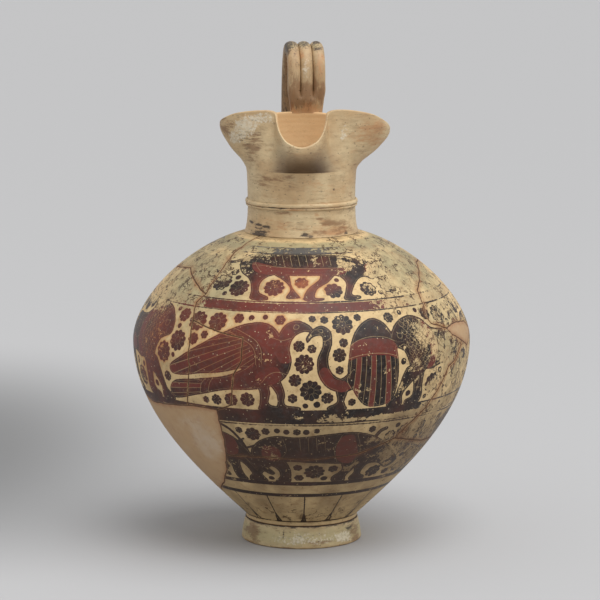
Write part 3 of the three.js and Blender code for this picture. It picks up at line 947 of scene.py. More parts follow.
@dataclass
class BreakLines:
    """The breaks as fine, slightly jagged lines on the wall.

    Attributes:
        steps: stretches for each gap between two of a break's points.
        jag: how far a break strays from its straight stretches.
        jag_length: how long its largest jags are.
    """

    wall: Wall
    steps: int = 60
    jag: float = 0.7
    jag_length: float = 21

    def __post_init__(self) -> None:
        """Draws every break as azimuths and lengths along the wall."""
        self.fine = {}
        share = np.linspace(0, 1, self.steps, endpoint=False)
        for number, (name, points) in enumerate(BREAKS.items()):
            knots = np.array([self._spot(*point) for point in points])
            runs = []
            for gap, (start, end) in enumerate(zip(knots[:-1], knots[1:])):
                line = start + (end - start) * share[:, None]
                radius = self.wall.radius_at(line[:, 1])
                run = (end - start) * (radius.mean(), 1)
                span = float(np.hypot(*run))
                across = np.array([-run[1], run[0]]) / max(span, 1e-6)
                stray = self.jag * ripple(span * share, 0 * share, self.jag_length, 97 * number + gap)
                stray *= np.sin(math.pi * share)
                runs.append(line + stray[:, None] * across / np.stack([radius, 0 * radius + 1], axis=1))
            self.fine[name] = np.vstack(runs + [knots[-1:]])

    def _spot(self, half_turns: float, share: float) -> Pair:
        """Finds a break's point on the wall.

        Args:
            half_turns: its azimuth, in half turns.
            share: its height, as a share of the wall's.

        Returns:
            Its azimuth, and its length along the wall.
        """
        wall = self.wall
        rise = wall.top_height - wall.start_height
        length = float(wall.length_at(wall.start_height + share * rise))
        return half_turns * math.pi, length + max(0.0, share - 1) * rise

    def outline(self, parts: tuple[tuple[str, int, int], ...]) -> Array:
        """Follows the outline of a sherd.

        Args:
            parts: the breaks round it, each with the numbers of the points where it is joined and left.

        Returns:
            The azimuths and the lengths along the wall of the outline's fine points.
        """
        runs = []
        for name, first, last in parts:
            run = self.fine[name][min(first, last) * self.steps:max(first, last) * self.steps + 1]
            runs.append(run if first < last else run[::-1])
        path = np.vstack(runs)
        path[:, 0] = np.unwrap(path[:, 0])
        return path


@dataclass
class Body:
    """The jug's body: eight painted sherds and two plaster fills, each a closed solid.

    Attributes:
        groove: how deep the edge of a sherd is worn down at a break.
        parting: half of the gap between two sherds.
        snap: how near a break a point has to be to move onto it.
        inner_pitch: the size of the faces inside.
        unrolled: the radius at which a sherd's inside is laid out flat.
    """

    wall: Wall
    canvas: Canvas
    groove: float = 0.4
    parting: float = 0.1
    snap: float = 2.2
    inner_pitch: float = 11.0
    unrolled: float = 120.0
    floor_height: float = 27.9
    floor_radius: float = 47.7

    def __post_init__(self) -> None:
        """Parts the canvas into sherds."""
        self.breaks = BreakLines(self.wall)
        self.names = [*SHERDS, "sherd_base"]
        self.labels = self._tidied(self._labels())
        self._snap()

    def _labels(self) -> Array:
        """Finds which sherd each face of the canvas belongs to.

        Returns:
            The number of the sherd, for each row and column of faces.
        """
        canvas = self.canvas
        turn = canvas.turns + TURN / canvas.columns / 2
        labels = np.full((canvas.rows - 1, canvas.columns), len(SHERDS))
        for number, parts in enumerate(SHERDS.values()):
            a = self.breaks.outline(parts)
            b = np.roll(a, -1, axis=0)
            for row, level in enumerate((canvas.lengths[1:] + canvas.lengths[:-1]) / 2):
                spans = (a[:, 1] > level) != (b[:, 1] > level)
                p, q = a[spans], b[spans]
                crossing = np.sort(p[:, 0] + (level - p[:, 1]) * (q[:, 0] - p[:, 0]) / (q[:, 1] - p[:, 1]))
                for shift in (0, TURN):
                    labels[row, np.searchsorted(crossing, turn + shift) % 2 == 1] = number
        return labels

    @staticmethod
    def _tidied(labels: Array) -> Array:
        """Takes away stray faces, and sherds that touch themselves at a corner only.

        Args:
            labels: the number of the sherd that each face belongs to.

        Returns:
            The same without them.
        """
        for _ in range(30):
            shifted = np.roll(labels, -1, axis=1)
            a, b, c, d = labels[:-1], shifted[:-1], labels[1:], shifted[1:]
            first = (a == d) & (b != a) & (c != a)
            second = (b == c) & (a != b) & (d != b)
            alike = sum((np.roll(labels, shift, axis=axis) == labels).astype(int)
                        for shift, axis in ((1, 0), (-1, 0), (1, 1), (-1, 1)))
            alike[0] = alike[-1] = 4
            lonely = alike <= 1
            if not (first.any() or second.any() or lonely.any()):
                break
            fixed = labels.copy()
            fixed[1:][first] = a[first]
            fixed[:-1][second] = b[second]
            fixed[lonely] = np.roll(labels, 1, axis=1)[lonely]
            labels = fixed
        return labels

    def _snap(self) -> None:
        """Moves the points between two sherds onto the break, and measures every point's distance to it."""
        canvas, wall = self.canvas, self.wall
        samples = np.vstack(list(self.breaks.fine.values()))
        samples[:, 1] = np.minimum(samples[:, 1], wall.end)
        tree = KDTree(len(samples))
        for number, place in enumerate(wall.place(samples[:, 0], samples[:, 1])):
            tree.insert(place, number)
        tree.balance()
        places = wall.place(canvas.azimuth, canvas.length).reshape(-1, 3)
        found = [tree.find(place) for place in places]
        nearest = np.array([hit[1] for hit in found]).reshape(canvas.azimuth.shape)
        away = np.array([hit[2] for hit in found]).reshape(canvas.azimuth.shape)
        label = np.vstack([self.labels[:1], self.labels, self.labels[-1:]])
        left = np.roll(label, 1, axis=1)
        edge = (label[1:] != label[:-1]) | (left[1:] != left[:-1])
        edge |= (label[1:] != left[1:]) | (label[:-1] != left[:-1])
        edge &= away < self.snap
        self.on_break = edge
        canvas.fields[Field.CRACK] = np.where(edge, 0.0, np.minimum(away, FAR))
        snapped = samples[nearest]
        canvas.azimuth = np.where(edge, snapped[..., 0], canvas.azimuth)
        edge = edge & (np.arange(canvas.rows)[:, None] < canvas.rows - 1)
        canvas.length = np.where(edge, snapped[..., 1], canvas.length)

    def build(self, painted: bpy.types.Material, plaster: bpy.types.Material) -> None:
        """Builds every sherd and fill, each in place of its node.

        Args:
            painted: the material of the sherds.
            plaster: the material of the fills.
        """
        for number, name in enumerate(self.names):
            surface = self._solid(number)
            filled = name.startswith("fill")
            piece = surface.to_object("body_" + name, plaster if filled else painted)
            hand_in(piece, Slot.PLASTER if filled else Slot.PAINTED, name)

    def _solid(self, number: int) -> Surface:
        """Closes one sherd: its painted outside, its broken edges and its inside.

        Args:
            number: the number of the sherd.

        Returns:
            Its surface.
        """
        canvas, whole = self.canvas, self.names[number] == "sherd_base"
        row, column = np.nonzero(self.labels == number)
        low, right = row * canvas.columns, (column + 1) % canvas.columns
        high = low + canvas.columns
        used, flat = np.unique(np.stack([low + column, low + right, high + right, high + column], axis=1),
                               return_inverse=True)
        quads = flat.reshape(-1, 4)
        azimuth, length = canvas.azimuth.reshape(-1)[used], canvas.length.reshape(-1)[used]
        worn = self.on_break.reshape(-1)[used]
        points = self.wall.place(azimuth, length, -self.groove * worn)
        points += self._aside(points, quads, worn)
        surface = Surface(points, quads.tolist())
        for name, values in canvas.fields.items():
            surface.values[name.value] = values.reshape(-1)[used]
        surface.values["inside"] = np.zeros(len(points))
        if whole:
            self._close_base(surface, azimuth, length)
        self._close_inside(surface, self._outline_loop(quads, length), azimuth, length, whole)
        return surface

    def _aside(self, points: Array, quads: Array, worn: Array) -> Array:
        """Finds how far the points of a break are moved into their own sherd.

        Args:
            points: the points of the sherd's outside.
            quads: its faces.
            worn: whether each point lies on a break.

        Returns:
            A move for each point.
        """
        middle = points[quads].mean(1)
        towards = np.zeros_like(points)
        for corner in range(4):
            np.add.at(towards, quads[:, corner], middle - points[quads[:, corner]])
        size = np.linalg.norm(towards, axis=1, keepdims=True)
        return np.where(worn[:, None], towards / np.maximum(size, 1e-6) * self.parting, 0)

    @staticmethod
    def _outline_loop(quads: Array, length: Array) -> list[int]:
        """Finds a sherd's outline, leaving out the rim of the base disc.

        Args:
            quads: the faces of its outside.
            length: its points' lengths along the wall.

        Returns:
            The numbers of the outline's points, in order.
        """
        starts = quads.reshape(-1)
        ends = np.roll(quads, -1, axis=1).reshape(-1)
        known = set(zip(starts.tolist(), ends.tolist()))
        follow = {a: b for a, b in known if (b, a) not in known}
        loops = []
        while follow:
            first = next(iter(follow))
            loop, point = [], first
            while point in follow:
                loop.append(point)
                point = follow.pop(point)
            loops.append(loop)
        rims = [loop for loop in loops if length[loop].max() > 1]
        return max(rims, key=len)

    def _close_base(self, surface: Surface, azimuth: Array, length: Array) -> None:
        """Adds the flat disc that stands on the foot.

        Args:
            surface: the base so far.
            azimuth: the azimuths of its outer points.
            length: their lengths along the wall.
        """
        rim = np.flatnonzero(length < 1e-6)
        rim = rim[np.argsort(azimuth[rim])]
        under = np.column_stack([surface.points[rim, :2], np.full(len(rim), self.wall.under_height)])
        first = len(surface.points)
        surface.points = np.vstack([surface.points, under, [[0, 0, self.wall.under_height]]])
        follow = np.roll(np.arange(len(rim)), -1)
        for here, there in enumerate(follow.tolist()):
            surface.faces.append([first + here, first + there, int(rim[there]), int(rim[here])])
            surface.faces.append([first + there, first + here, first + len(rim)])
        self._extend(surface, len(under) + 1)
        surface.values["inside"][first:-1] = 0
        surface.values["crack"][first:-1] = -3

    def _close_inside(self, surface: Surface, loop: list[int], azimuth: Array, length: Array,
                      whole: bool) -> None:
        """Adds the broken edge and the inside of a sherd.

        Args:
            surface: the sherd so far.
            loop: the points of its outline, in order.
            azimuth: the azimuths of its outer points.
            length: their lengths along the wall.
            whole: whether the sherd goes all the way round and holds the floor.
        """
        wall, turn, along = self.wall, np.unwrap(azimuth[loop]), length[loop]
        spread = wall.base_radius + along
        rim = (spread * np.cos(turn), spread * np.sin(turn)) if whole else (turn * self.unrolled, along)
        rim = np.stack(rim, axis=1)
        x, y = (np.arange(side.min(), side.max(), self.inner_pitch) for side in rim.T)
        spots = np.stack(np.meshgrid(x, y), axis=-1).reshape(-1, 2)
        away, _ = line_distance(spots, rim[::3], True)
        spots = spots[inside(spots, rim) & (away > 0.4 * self.inner_pitch)]
        edges = [(here, (here + 1) % len(rim)) for here in range(len(rim))]
        chart = [Vector(place) for place in np.vstack([rim, spots]).tolist()]
        result = delaunay_2d_cdt(chart, edges, [], 1, 1e-7)
        flat, triangles, origins = np.array([tuple(place) for place in result[0]]), result[2], result[3]
        if whole:
            spread, angle = np.hypot(flat[:, 0], flat[:, 1]), np.arctan2(flat[:, 1], flat[:, 0])
            inner = wall.place(angle, np.maximum(spread - wall.base_radius, 0), -wall.thickness)
            floor = spun(angle, spread / wall.base_radius * self.floor_radius, self.floor_height)
            inner = np.where((spread < wall.base_radius)[:, None], floor, inner)
        else:
            inner = wall.place(flat[:, 0] / self.unrolled, flat[:, 1], -wall.thickness)
        first = len(surface.points)
        surface.points = np.vstack([surface.points, inner])
        self._extend(surface, len(inner))
        placed = {source: first + number for number, sources in enumerate(origins) for source in sources}
        for triangle in triangles:
            corners = [first + corner for corner in triangle]
            surface.faces.append(corners if whole else corners[::-1])
        for here, there in edges:
            a, b = placed[here], placed[there]
            surface.faces.append([loop[there], loop[here], a] + ([b] if a != b else []))

    @staticmethod
    def _extend(surface: Surface, count: int) -> None:
        """Gives bare clay's values to points added at the end.

        Args:
            surface: the surface.
            count: how many points were added.
        """
        bare = {name.value: name.empty for name in Field}
        for name, values in surface.values.items():
            surface.values[name] = np.concatenate([values, np.full(count, bare.get(name, 1.0))])


# Neck, mouth, ring and foot


# Soft stains in space: for each kind, middles, sizes along X, Y and Z, and amounts
Stains = dict[str, str]
STAIN_KINDS = ("brown", "pale", "dark", "rosy", "olive")

MOUTH_STAINS = {
    "rosy": """64,-15,380,18,40,16,0.7 10,-48,326,34,14,14,0.2 30,-40,292,24,18,7,0.6
        -8,-50,298,26,18,6,0.35 -10,-49,307,3,8,2,1 14,-48,307.5,3,8,2,0.9""",
    "brown": """-69,-10,382,7,22,10,0.9 -46,-35,367,9,14,6,1 -50,-34,356,8,14,8,0.9 -40,-34,376,8,12,5,0.8
        -35,-36,334,13,16,6,0.7 -22,-45,340,14,14,4,0.55 33,-37,295,13,14,8,0.75 17,-47,303.5,7,10,1.6,0.9
        24,-45,299,8,10,2,0.85 16,-48,290,10,10,3,0.6 46,-26,310,6,16,30,0.35 0,52,330,40,20,30,0.5
        -14,-48,308.6,16,10,1.5,0.7""",
    "pale": """-38,-30,393,13,18,6,1.9 -50,-28,385,13,18,9,1.7 -60,-20,375,10,18,9,1.4
        38,-38,378,5,14,12,1.5 -12,-52,300,18,12,7,0.35 6,-40,384,20,40,20,0.3""",
    "dark": """-50,-30,372,9,16,12,0.35 -46,-22,297.2,3.5,8,1.1,1.3 -39,-32,296.2,4,8,1.1,1.4
        -32,-39,295.2,4,8,1.2,1.4 -38,-33,292.8,8,10,0.9,0.9 -34,-37,290.4,9,10,0.9,0.75
        -38,-33,287.6,11,12,2.8,1.25 3,-50,289.4,3.4,8,1.7,1.15 8.5,-50,287.6,3,8,1.6,1
        8.5,-60,365.4,0.9,9,0.9,1.6 29.3,-41,329.7,0.9,9,0.9,1.6 40,-31,289,3,8,1.5,0.8
        -30,42,300,14,14,5,0.7 30,44,345,20,14,6,0.5""",
}
# Round the ring: a brown line and a dark patch darken the groove, and a brown line at 310.34 is a painted
# shadow under the ridge
RING_STAINS_AND_SHADE = {
    "brown": "0,0,312.94,90,90,0.6,1.3 0,0,310.34,90,90,0.5,0.9",
    "dark": "-24,-42,312.94,14,14,0.6,0.9",
    "rosy": "-6,-50,311.54,9,12,1.5,1.1",
    "pale": "0,0,314.94,90,90,1.6,0.5",
}
FOOT_STAINS = {
    "brown": "0,0,0,90,90,1.6,1.1 -46,-32,12,10,20,9,1.1 20,-52,6,14,12,2,0.7 50,-26,9,8,14,9,0.9",
    "dark": """0,0,20,90,90,1,1.1 -16.5,-50,12,0.5,12,8,0.8 44,-33,15,4,9,3,0.9
        0,-55,11.5,3,9,0.6,0.9""",
    "pale": "2,-55,9,34,20,7,1.6 40,-38,8,9,12,6,1.8",
    "olive": "0,0,10,90,90,14,0.8",
}
HANDLE_STAINS = {
    "left": {
        "dark": "-10,70,453,9,30,3,0.8 -14,76,446,3,30,7,0.7 -14,118,400,12,30,70,0.3 -9,60,448,9,20,4,0.4",
        "brown": "0,118,400,20,30,80,2.6 -8,52,424,5,14,30,0.5 -4,50,409,10,14,9,1.2",
        "olive": "-10,70,451,9,30,5,0.5",
        "rosy": "-10,60,434,6,12,12,0.8",
        "pale": "-3,50,438,3,10,8,0.6",
    },
    "middle": {
        "olive": "2,76,452,9,30,4,0.5",
        "dark": "2,70,452.5,9,30,3.6,0.75 -4.5,58,430,1.2,20,40,0.5",
        "brown": "8,118,390,16,30,60,0.9 4,50,409,12,14,10,1.3",
        "rosy": "2,58,442,6,12,5,1",
        "pale": "4,50,432,5,10,12,1.5",
    },
    "right": {
        "dark": "13,64,454,8,30,1.6,1.1 8,50,450.5,2,20,2,1.3 16,50,448.5,6,20,1.2,0.8 13,60,450,9,20,4,0.45",
        "olive": "13,60,451,9,30,4,0.5",
        "brown": "15,50,410,10,14,10,1.2 9,54,426,3,14,26,0.6 20,120,380,16,30,50,0.9",
        "rosy": "16,58,432,6,12,14,0.9",
        "pale": "11,50,430,3,10,7,0.6",
    },
}
ROOT_STAINS = {
    "brown": "4,50,409,24,14,9,1.35 -8,50,400,12,14,7,1 0,118,260,40,40,20,0.6",
    "rosy": "6,52,392,24,16,8,0.8",
    "pale": "8,50,391,16,16,4,0.5 0,120,250,30,20,8,0.5",
}


def hand_in_stained(name: str, surface: Surface, stains: Stains, material: bpy.types.Material,
                    sharp: float = 42.0) -> None:
    """Stains a piece of plain clay, hangs it on the root and hides the node that it stands for.

    Args:
        name: the node that it stands for.
        surface: its surface, which gets an attribute for each kind of stain.
        stains: its stains.
        material: its material.
        sharp: edges that bend by more degrees than this stay sharp.
    """
    for kind in STAIN_KINDS:
        surface.values[kind] = np.zeros(len(surface.points))
        for *spot, amount in rows(stains.get(kind, "")):
            away = (((surface.points - spot[:3]) / spot[3:]) ** 2).sum(1)
            surface.values[kind] += amount * np.exp(-away)
    surface.values.setdefault("mouth_depth_and_shade", np.zeros(len(surface.points)))
    hand_in(surface.to_object("slipped_" + name, material, sharp), Slot.SLIPPED, name)


@dataclass
class Mouth:
    """The neck and the three-lobed mouth, thrown in one.

    Attributes:
        crease: the height where the mouth starts to open.
        opening: the radius of the hole in the shoulder.
        seat: the gap between the neck and the shoulder.
        spout: the reach of the spout's tip and its rise above the crease, as for the parts below it.
        spout_width: how far round, in radians, the spout swells out above the crease.
    """

    shoulder: float = 286.3
    crease: float = 344.6
    foot_radius: float = 52.2
    waist_radius: float = 49.3
    crease_radius: float = 50.6
    opening: float = 45.5
    neck_wall: float = 5.0
    rim_wall: float = 3.6
    lip: float = 1.4
    seat: float = 0.3
    spout: tuple[float, float] = (69, 25.6)
    pinch: tuple[float, float] = (42, 53.9)
    pinch_azimuth: float = math.radians(36)
    left_lobe: tuple[float, float] = (74.5, 42.2)
    right_lobe: tuple[float, float] = (80.5, 36.9)
    back: tuple[float, float] = (54.5, 46.4)
    spout_width: float = 0.55
    columns: int = 360

    # Shares of a stretch's height with shares of its widening
    flare_shares = rows("0,1 0.06,0.6 0.14,0.28 0.26,0.06 0.38,0 0.5,0")
    widening_shares = rows("0.62,0.05 0.82,0.3 1,1")
    mouth_shares = rows("0.1,0.08 0.2,0.19 0.32,0.38 0.45,0.57 0.6,0.74 0.76,0.9 0.9,0.985 1,1")
    inner_shares = rows("0.82,0.1 0.5,0 0.2,0.02")
    # Shares of the way between two corners of the rim: azimuth, reach and rise
    spout_shares = rows("0.3,0.12,0.13 0.56,0.48,0.38 0.82,0.83,0.73")
    lobe_front_shares = rows("0.28,0.27,-0.13 0.56,0.72,0.1 0.8,0.96,0.6")
    lobe_back_shares = rows("0.22,0.22,0.1 0.48,0.62,0.45 0.76,0.93,0.9")

    def rim(self, azimuth: Array) -> tuple[Array, Array]:
        """Finds the rim.

        Args:
            azimuth: azimuths from -pi to pi.

        Returns:
            Its reach and its height there.
        """
        right = self._half(self.right_lobe)
        left = [(-a, reach, rise) for a, reach, rise in self._half(self.left_lobe)[1:]][::-1]
        table = np.array(left + right)
        knots, values = table[:, 0], table[:, 1:]
        before, after = np.vstack([values[-2], values[:-1]]), np.vstack([values[1:], values[1]])
        gap = np.diff(knots)
        span = np.concatenate([[gap[0] + gap[-1]], gap[1:] + gap[:-1], [gap[0] + gap[-1]]])
        slope = (after - before) / span[:, None]
        cell = np.clip(np.searchsorted(knots, azimuth, side="right") - 1, 0, len(gap) - 1)
        width = gap[cell][:, None]
        share = (azimuth - knots[cell])[:, None] / width
        result = eased(values[cell], values[cell + 1], slope[cell] * width, slope[cell + 1] * width, share)
        return result[:, 0], self.crease + result[:, 1]

    def _half(self, lobe: Pair) -> Points:
        """Lays one side of the rim, from the spout's tip to the back.

        Args:
            lobe: the reach and the rise of its lobe.

        Returns:
            Azimuths, reaches and rises.
        """
        spout, pinch = (0.0, *self.spout), (self.pinch_azimuth, *self.pinch)
        tip, back = (math.pi / 2, *lobe), (math.pi, *self.back)
        points = [spout]
        for start, end, shares in ((spout, pinch, self.spout_shares), (pinch, tip, self.lobe_front_shares),
                                   (tip, back, self.lobe_back_shares)):
            points += [tuple(a + (b - a) * s for a, b, s in zip(start, end, share)) for share in shares]
            points.append(end)
        return points

    def reach(self, rim: Array, up: Array, turn: Array) -> Array:
        """Finds how far the mouth's outside reaches; the spout swells out just above the crease.

        Args:
            rim: the rim's reach.
            up: shares of the mouth's height.
            turn: azimuths.

        Returns:
            The reach there.
        """
        shares = np.array([(0.0, 0.0), *self.mouth_shares])
        plain, full = np.interp(up, shares[:, 0], shares[:, 1]), 1 - (1 - up) ** 2.4
        wide = plain + (full - plain) * np.exp(-((turn / self.spout_width) ** 2))
        return self.crease_radius + (rim - self.crease_radius) * wide

    def sections(self) -> Array:
        """Lays the outline.

        Returns:
            Rings of points that climb the outside, go over the lip and come down inside.
        """
        turn = TURN * np.arange(self.columns) / self.columns - math.pi
        rim, height = self.rim(turn)
        top, bottom = height - self.lip, self.shoulder + self.seat
        outer, inner, neck = [], [], self.crease - bottom
        flare, widening = self.flare_shares, self.widening_shares
        for widest, shares in ((self.foot_radius, flare), (self.crease_radius, widening)):
            for up, wide in shares:
                radius = self.waist_radius + (widest - self.waist_radius) * wide
                outer.append(spun(turn, radius, bottom + neck * up))
        for up, _ in self.mouth_shares:
            level = self.crease + (top - self.crease) * up
            radius = self.reach(rim, up + 0 * turn, turn)
            thick = self.neck_wall + (self.rim_wall - self.neck_wall) * up
            outer.append(spun(turn, radius, level))
            inner.append(spun(turn, radius - thick, level))
        half = self.rim_wall / 2
        lip = [spun(turn, rim - half + half * math.cos(bend), top + self.lip * math.sin(bend))
               for bend in np.linspace(0, math.pi, 9)[1:-1]]
        inner.reverse()
        for up, wide in self.inner_shares:
            radius = self.waist_radius + (self.crease_radius - self.waist_radius) * wide - self.neck_wall
            inner.append(spun(turn, radius, bottom + neck * up))
        inner.append(spun(turn, self.opening - 1, bottom))
        return np.concatenate([self._smooth(outer, 7), np.array(lip), self._smooth(inner, 6)])

    @staticmethod
    def _smooth(rings: list[Array], steps: int) -> Array:
        """Puts finer rings between rings, along smooth lines."""
        knots = np.array(rings)
        return smooth_path(knots.reshape(len(knots), -1), False, steps).reshape(-1, *knots.shape[1:])

    def build(self, material: bpy.types.Material) -> None:
        """Builds the neck with its mouth, in place of its node.

        Args:
            material: its material.
        """
        rings = self.sections()
        turn, size = turns_and_radii(rings)
        height = rings[..., 2]
        uneven = 0.04 * np.sin(height * TURN / 4.6 + turn) + 0.2 * ripple(turn * 60, height, 55, 3)
        rings[..., :2] *= (1 + uneven / size)[..., None]
        surface = loft(rings, False, True)
        surface.values["mouth_depth_and_shade"] = self._depth(surface.points)
        hand_in_stained("neck_and_mouth", surface, MOUTH_STAINS, material, 60)

    def _depth(self, points: Array) -> Array:
        """Finds how far inside points of the mouth are, and the shade painted under the spout.

        Args:
            points: the points.

        Returns:
            0 outside, 1 in the mouth, 2 deep in the neck, where shade is painted, and down to -1 in the shade
            painted under the spout.
        """
        turn, radius = turns_and_radii(points)
        rim, height = self.rim(turn)
        up = np.clip((points[:, 2] - self.crease) / (height - self.lip - self.crease), 0, 1)
        within = radius < self.reach(rim, up, turn) - 2.2
        deep = np.clip((self.crease + 8 - points[:, 2]) / 40, 0, 1)
        # Shade painted under the overhanging spout, darkest at the crease
        shade = np.exp(-(((turn - 0.06) / 0.66) ** 2)) * (1 - up) ** 0.7 * (points[:, 2] > self.crease)
        return np.where(within, 1 + deep, -shade)


@dataclass
class NeckRing:
    """The raised ring of clay round the neck: a broad roll over a narrow ridge.

    Attributes:
        groove: the height of the groove between the two.
        roll: how far the roll stands out, and half its height, as for the ridge.
    """

    groove: float = 312.94
    inner: float = 49.6
    roll: Pair = (1.9, 2.2)
    ridge: Pair = (1.5, 1.3)

    def build(self, material: bpy.types.Material) -> None:
        """Builds the ring, in place of its node.

        Args:
            material: its material.
        """
        bend = np.radians(np.linspace(-50, 90, 13))
        rolls = [np.stack([self.inner + depth * np.cos(bend),
                           self.groove + way * half * (math.sin(math.radians(50)) + np.sin(bend))], 1)[::way]
                 for way, (depth, half) in ((-1, self.ridge), (1, self.roll))]
        rings = turned(np.vstack(rolls))
        turn = TURN * np.arange(rings.shape[1]) / rings.shape[1]
        rings[..., 2] += 0.3 * np.sin(3 * turn + 1) + 0.2 * ripple(50 * turn, 0 * turn, 34, 8)
        hand_in_stained("neck_ring", loft(rings, False, True), RING_STAINS_AND_SHADE, material)


@dataclass
class Foot:
    """The turned ring foot, open underneath."""

    height: float = 20.0
    radius: float = 55.5
    top_radius: float = 52.0
    inner_radius: float = 44.0
    edge: float = 1.6

    def build(self, material: bpy.types.Material) -> None:
        """Builds the foot, in place of its node.

        Args:
            material: its material.
        """
        corner = np.linspace(0, math.pi / 2, 6)
        inset, level = self.edge * (1 - np.sin(corner)), self.edge * (1 - np.cos(corner))
        side = np.linspace(0, 1, 16)[1:, None]
        start, end = np.array([self.radius, self.edge]), np.array([self.top_radius, self.height])
        bow = np.array([self.radius + 0.3 * (self.top_radius - self.radius), 0.5 * self.height])
        outline = np.vstack([
            np.stack([self.inner_radius + inset, level], 1)[::-1],
            np.stack([self.radius - inset, level], 1),
            start * (1 - side) ** 2 + 2 * bow * side * (1 - side) + end * side**2,
            [[self.inner_radius + 2, self.height]],
            [[self.inner_radius, self.height - 1], [self.inner_radius, 10]],
        ])
        rings = turned(outline)
        level = rings[..., 2]
        uneven = 0.25 * ripple(turns_and_radii(rings)[0] * 55, level, 48, 12)
        raised = np.clip((level - 1) / 4, 0, 1) * np.clip((self.height - level) / 3, 0, 1)
        rings[..., :2] *= (1 + uneven * raised / self.radius)[..., None]
        hand_in_stained("foot_ring", loft(rings, False, True), FOOT_STAINS, material, 55)


# Handle


def squared(wave: Array, power: float) -> Array:
    """A wave made squarer by a power below one."""
    return np.sign(wave) * np.abs(wave) ** power


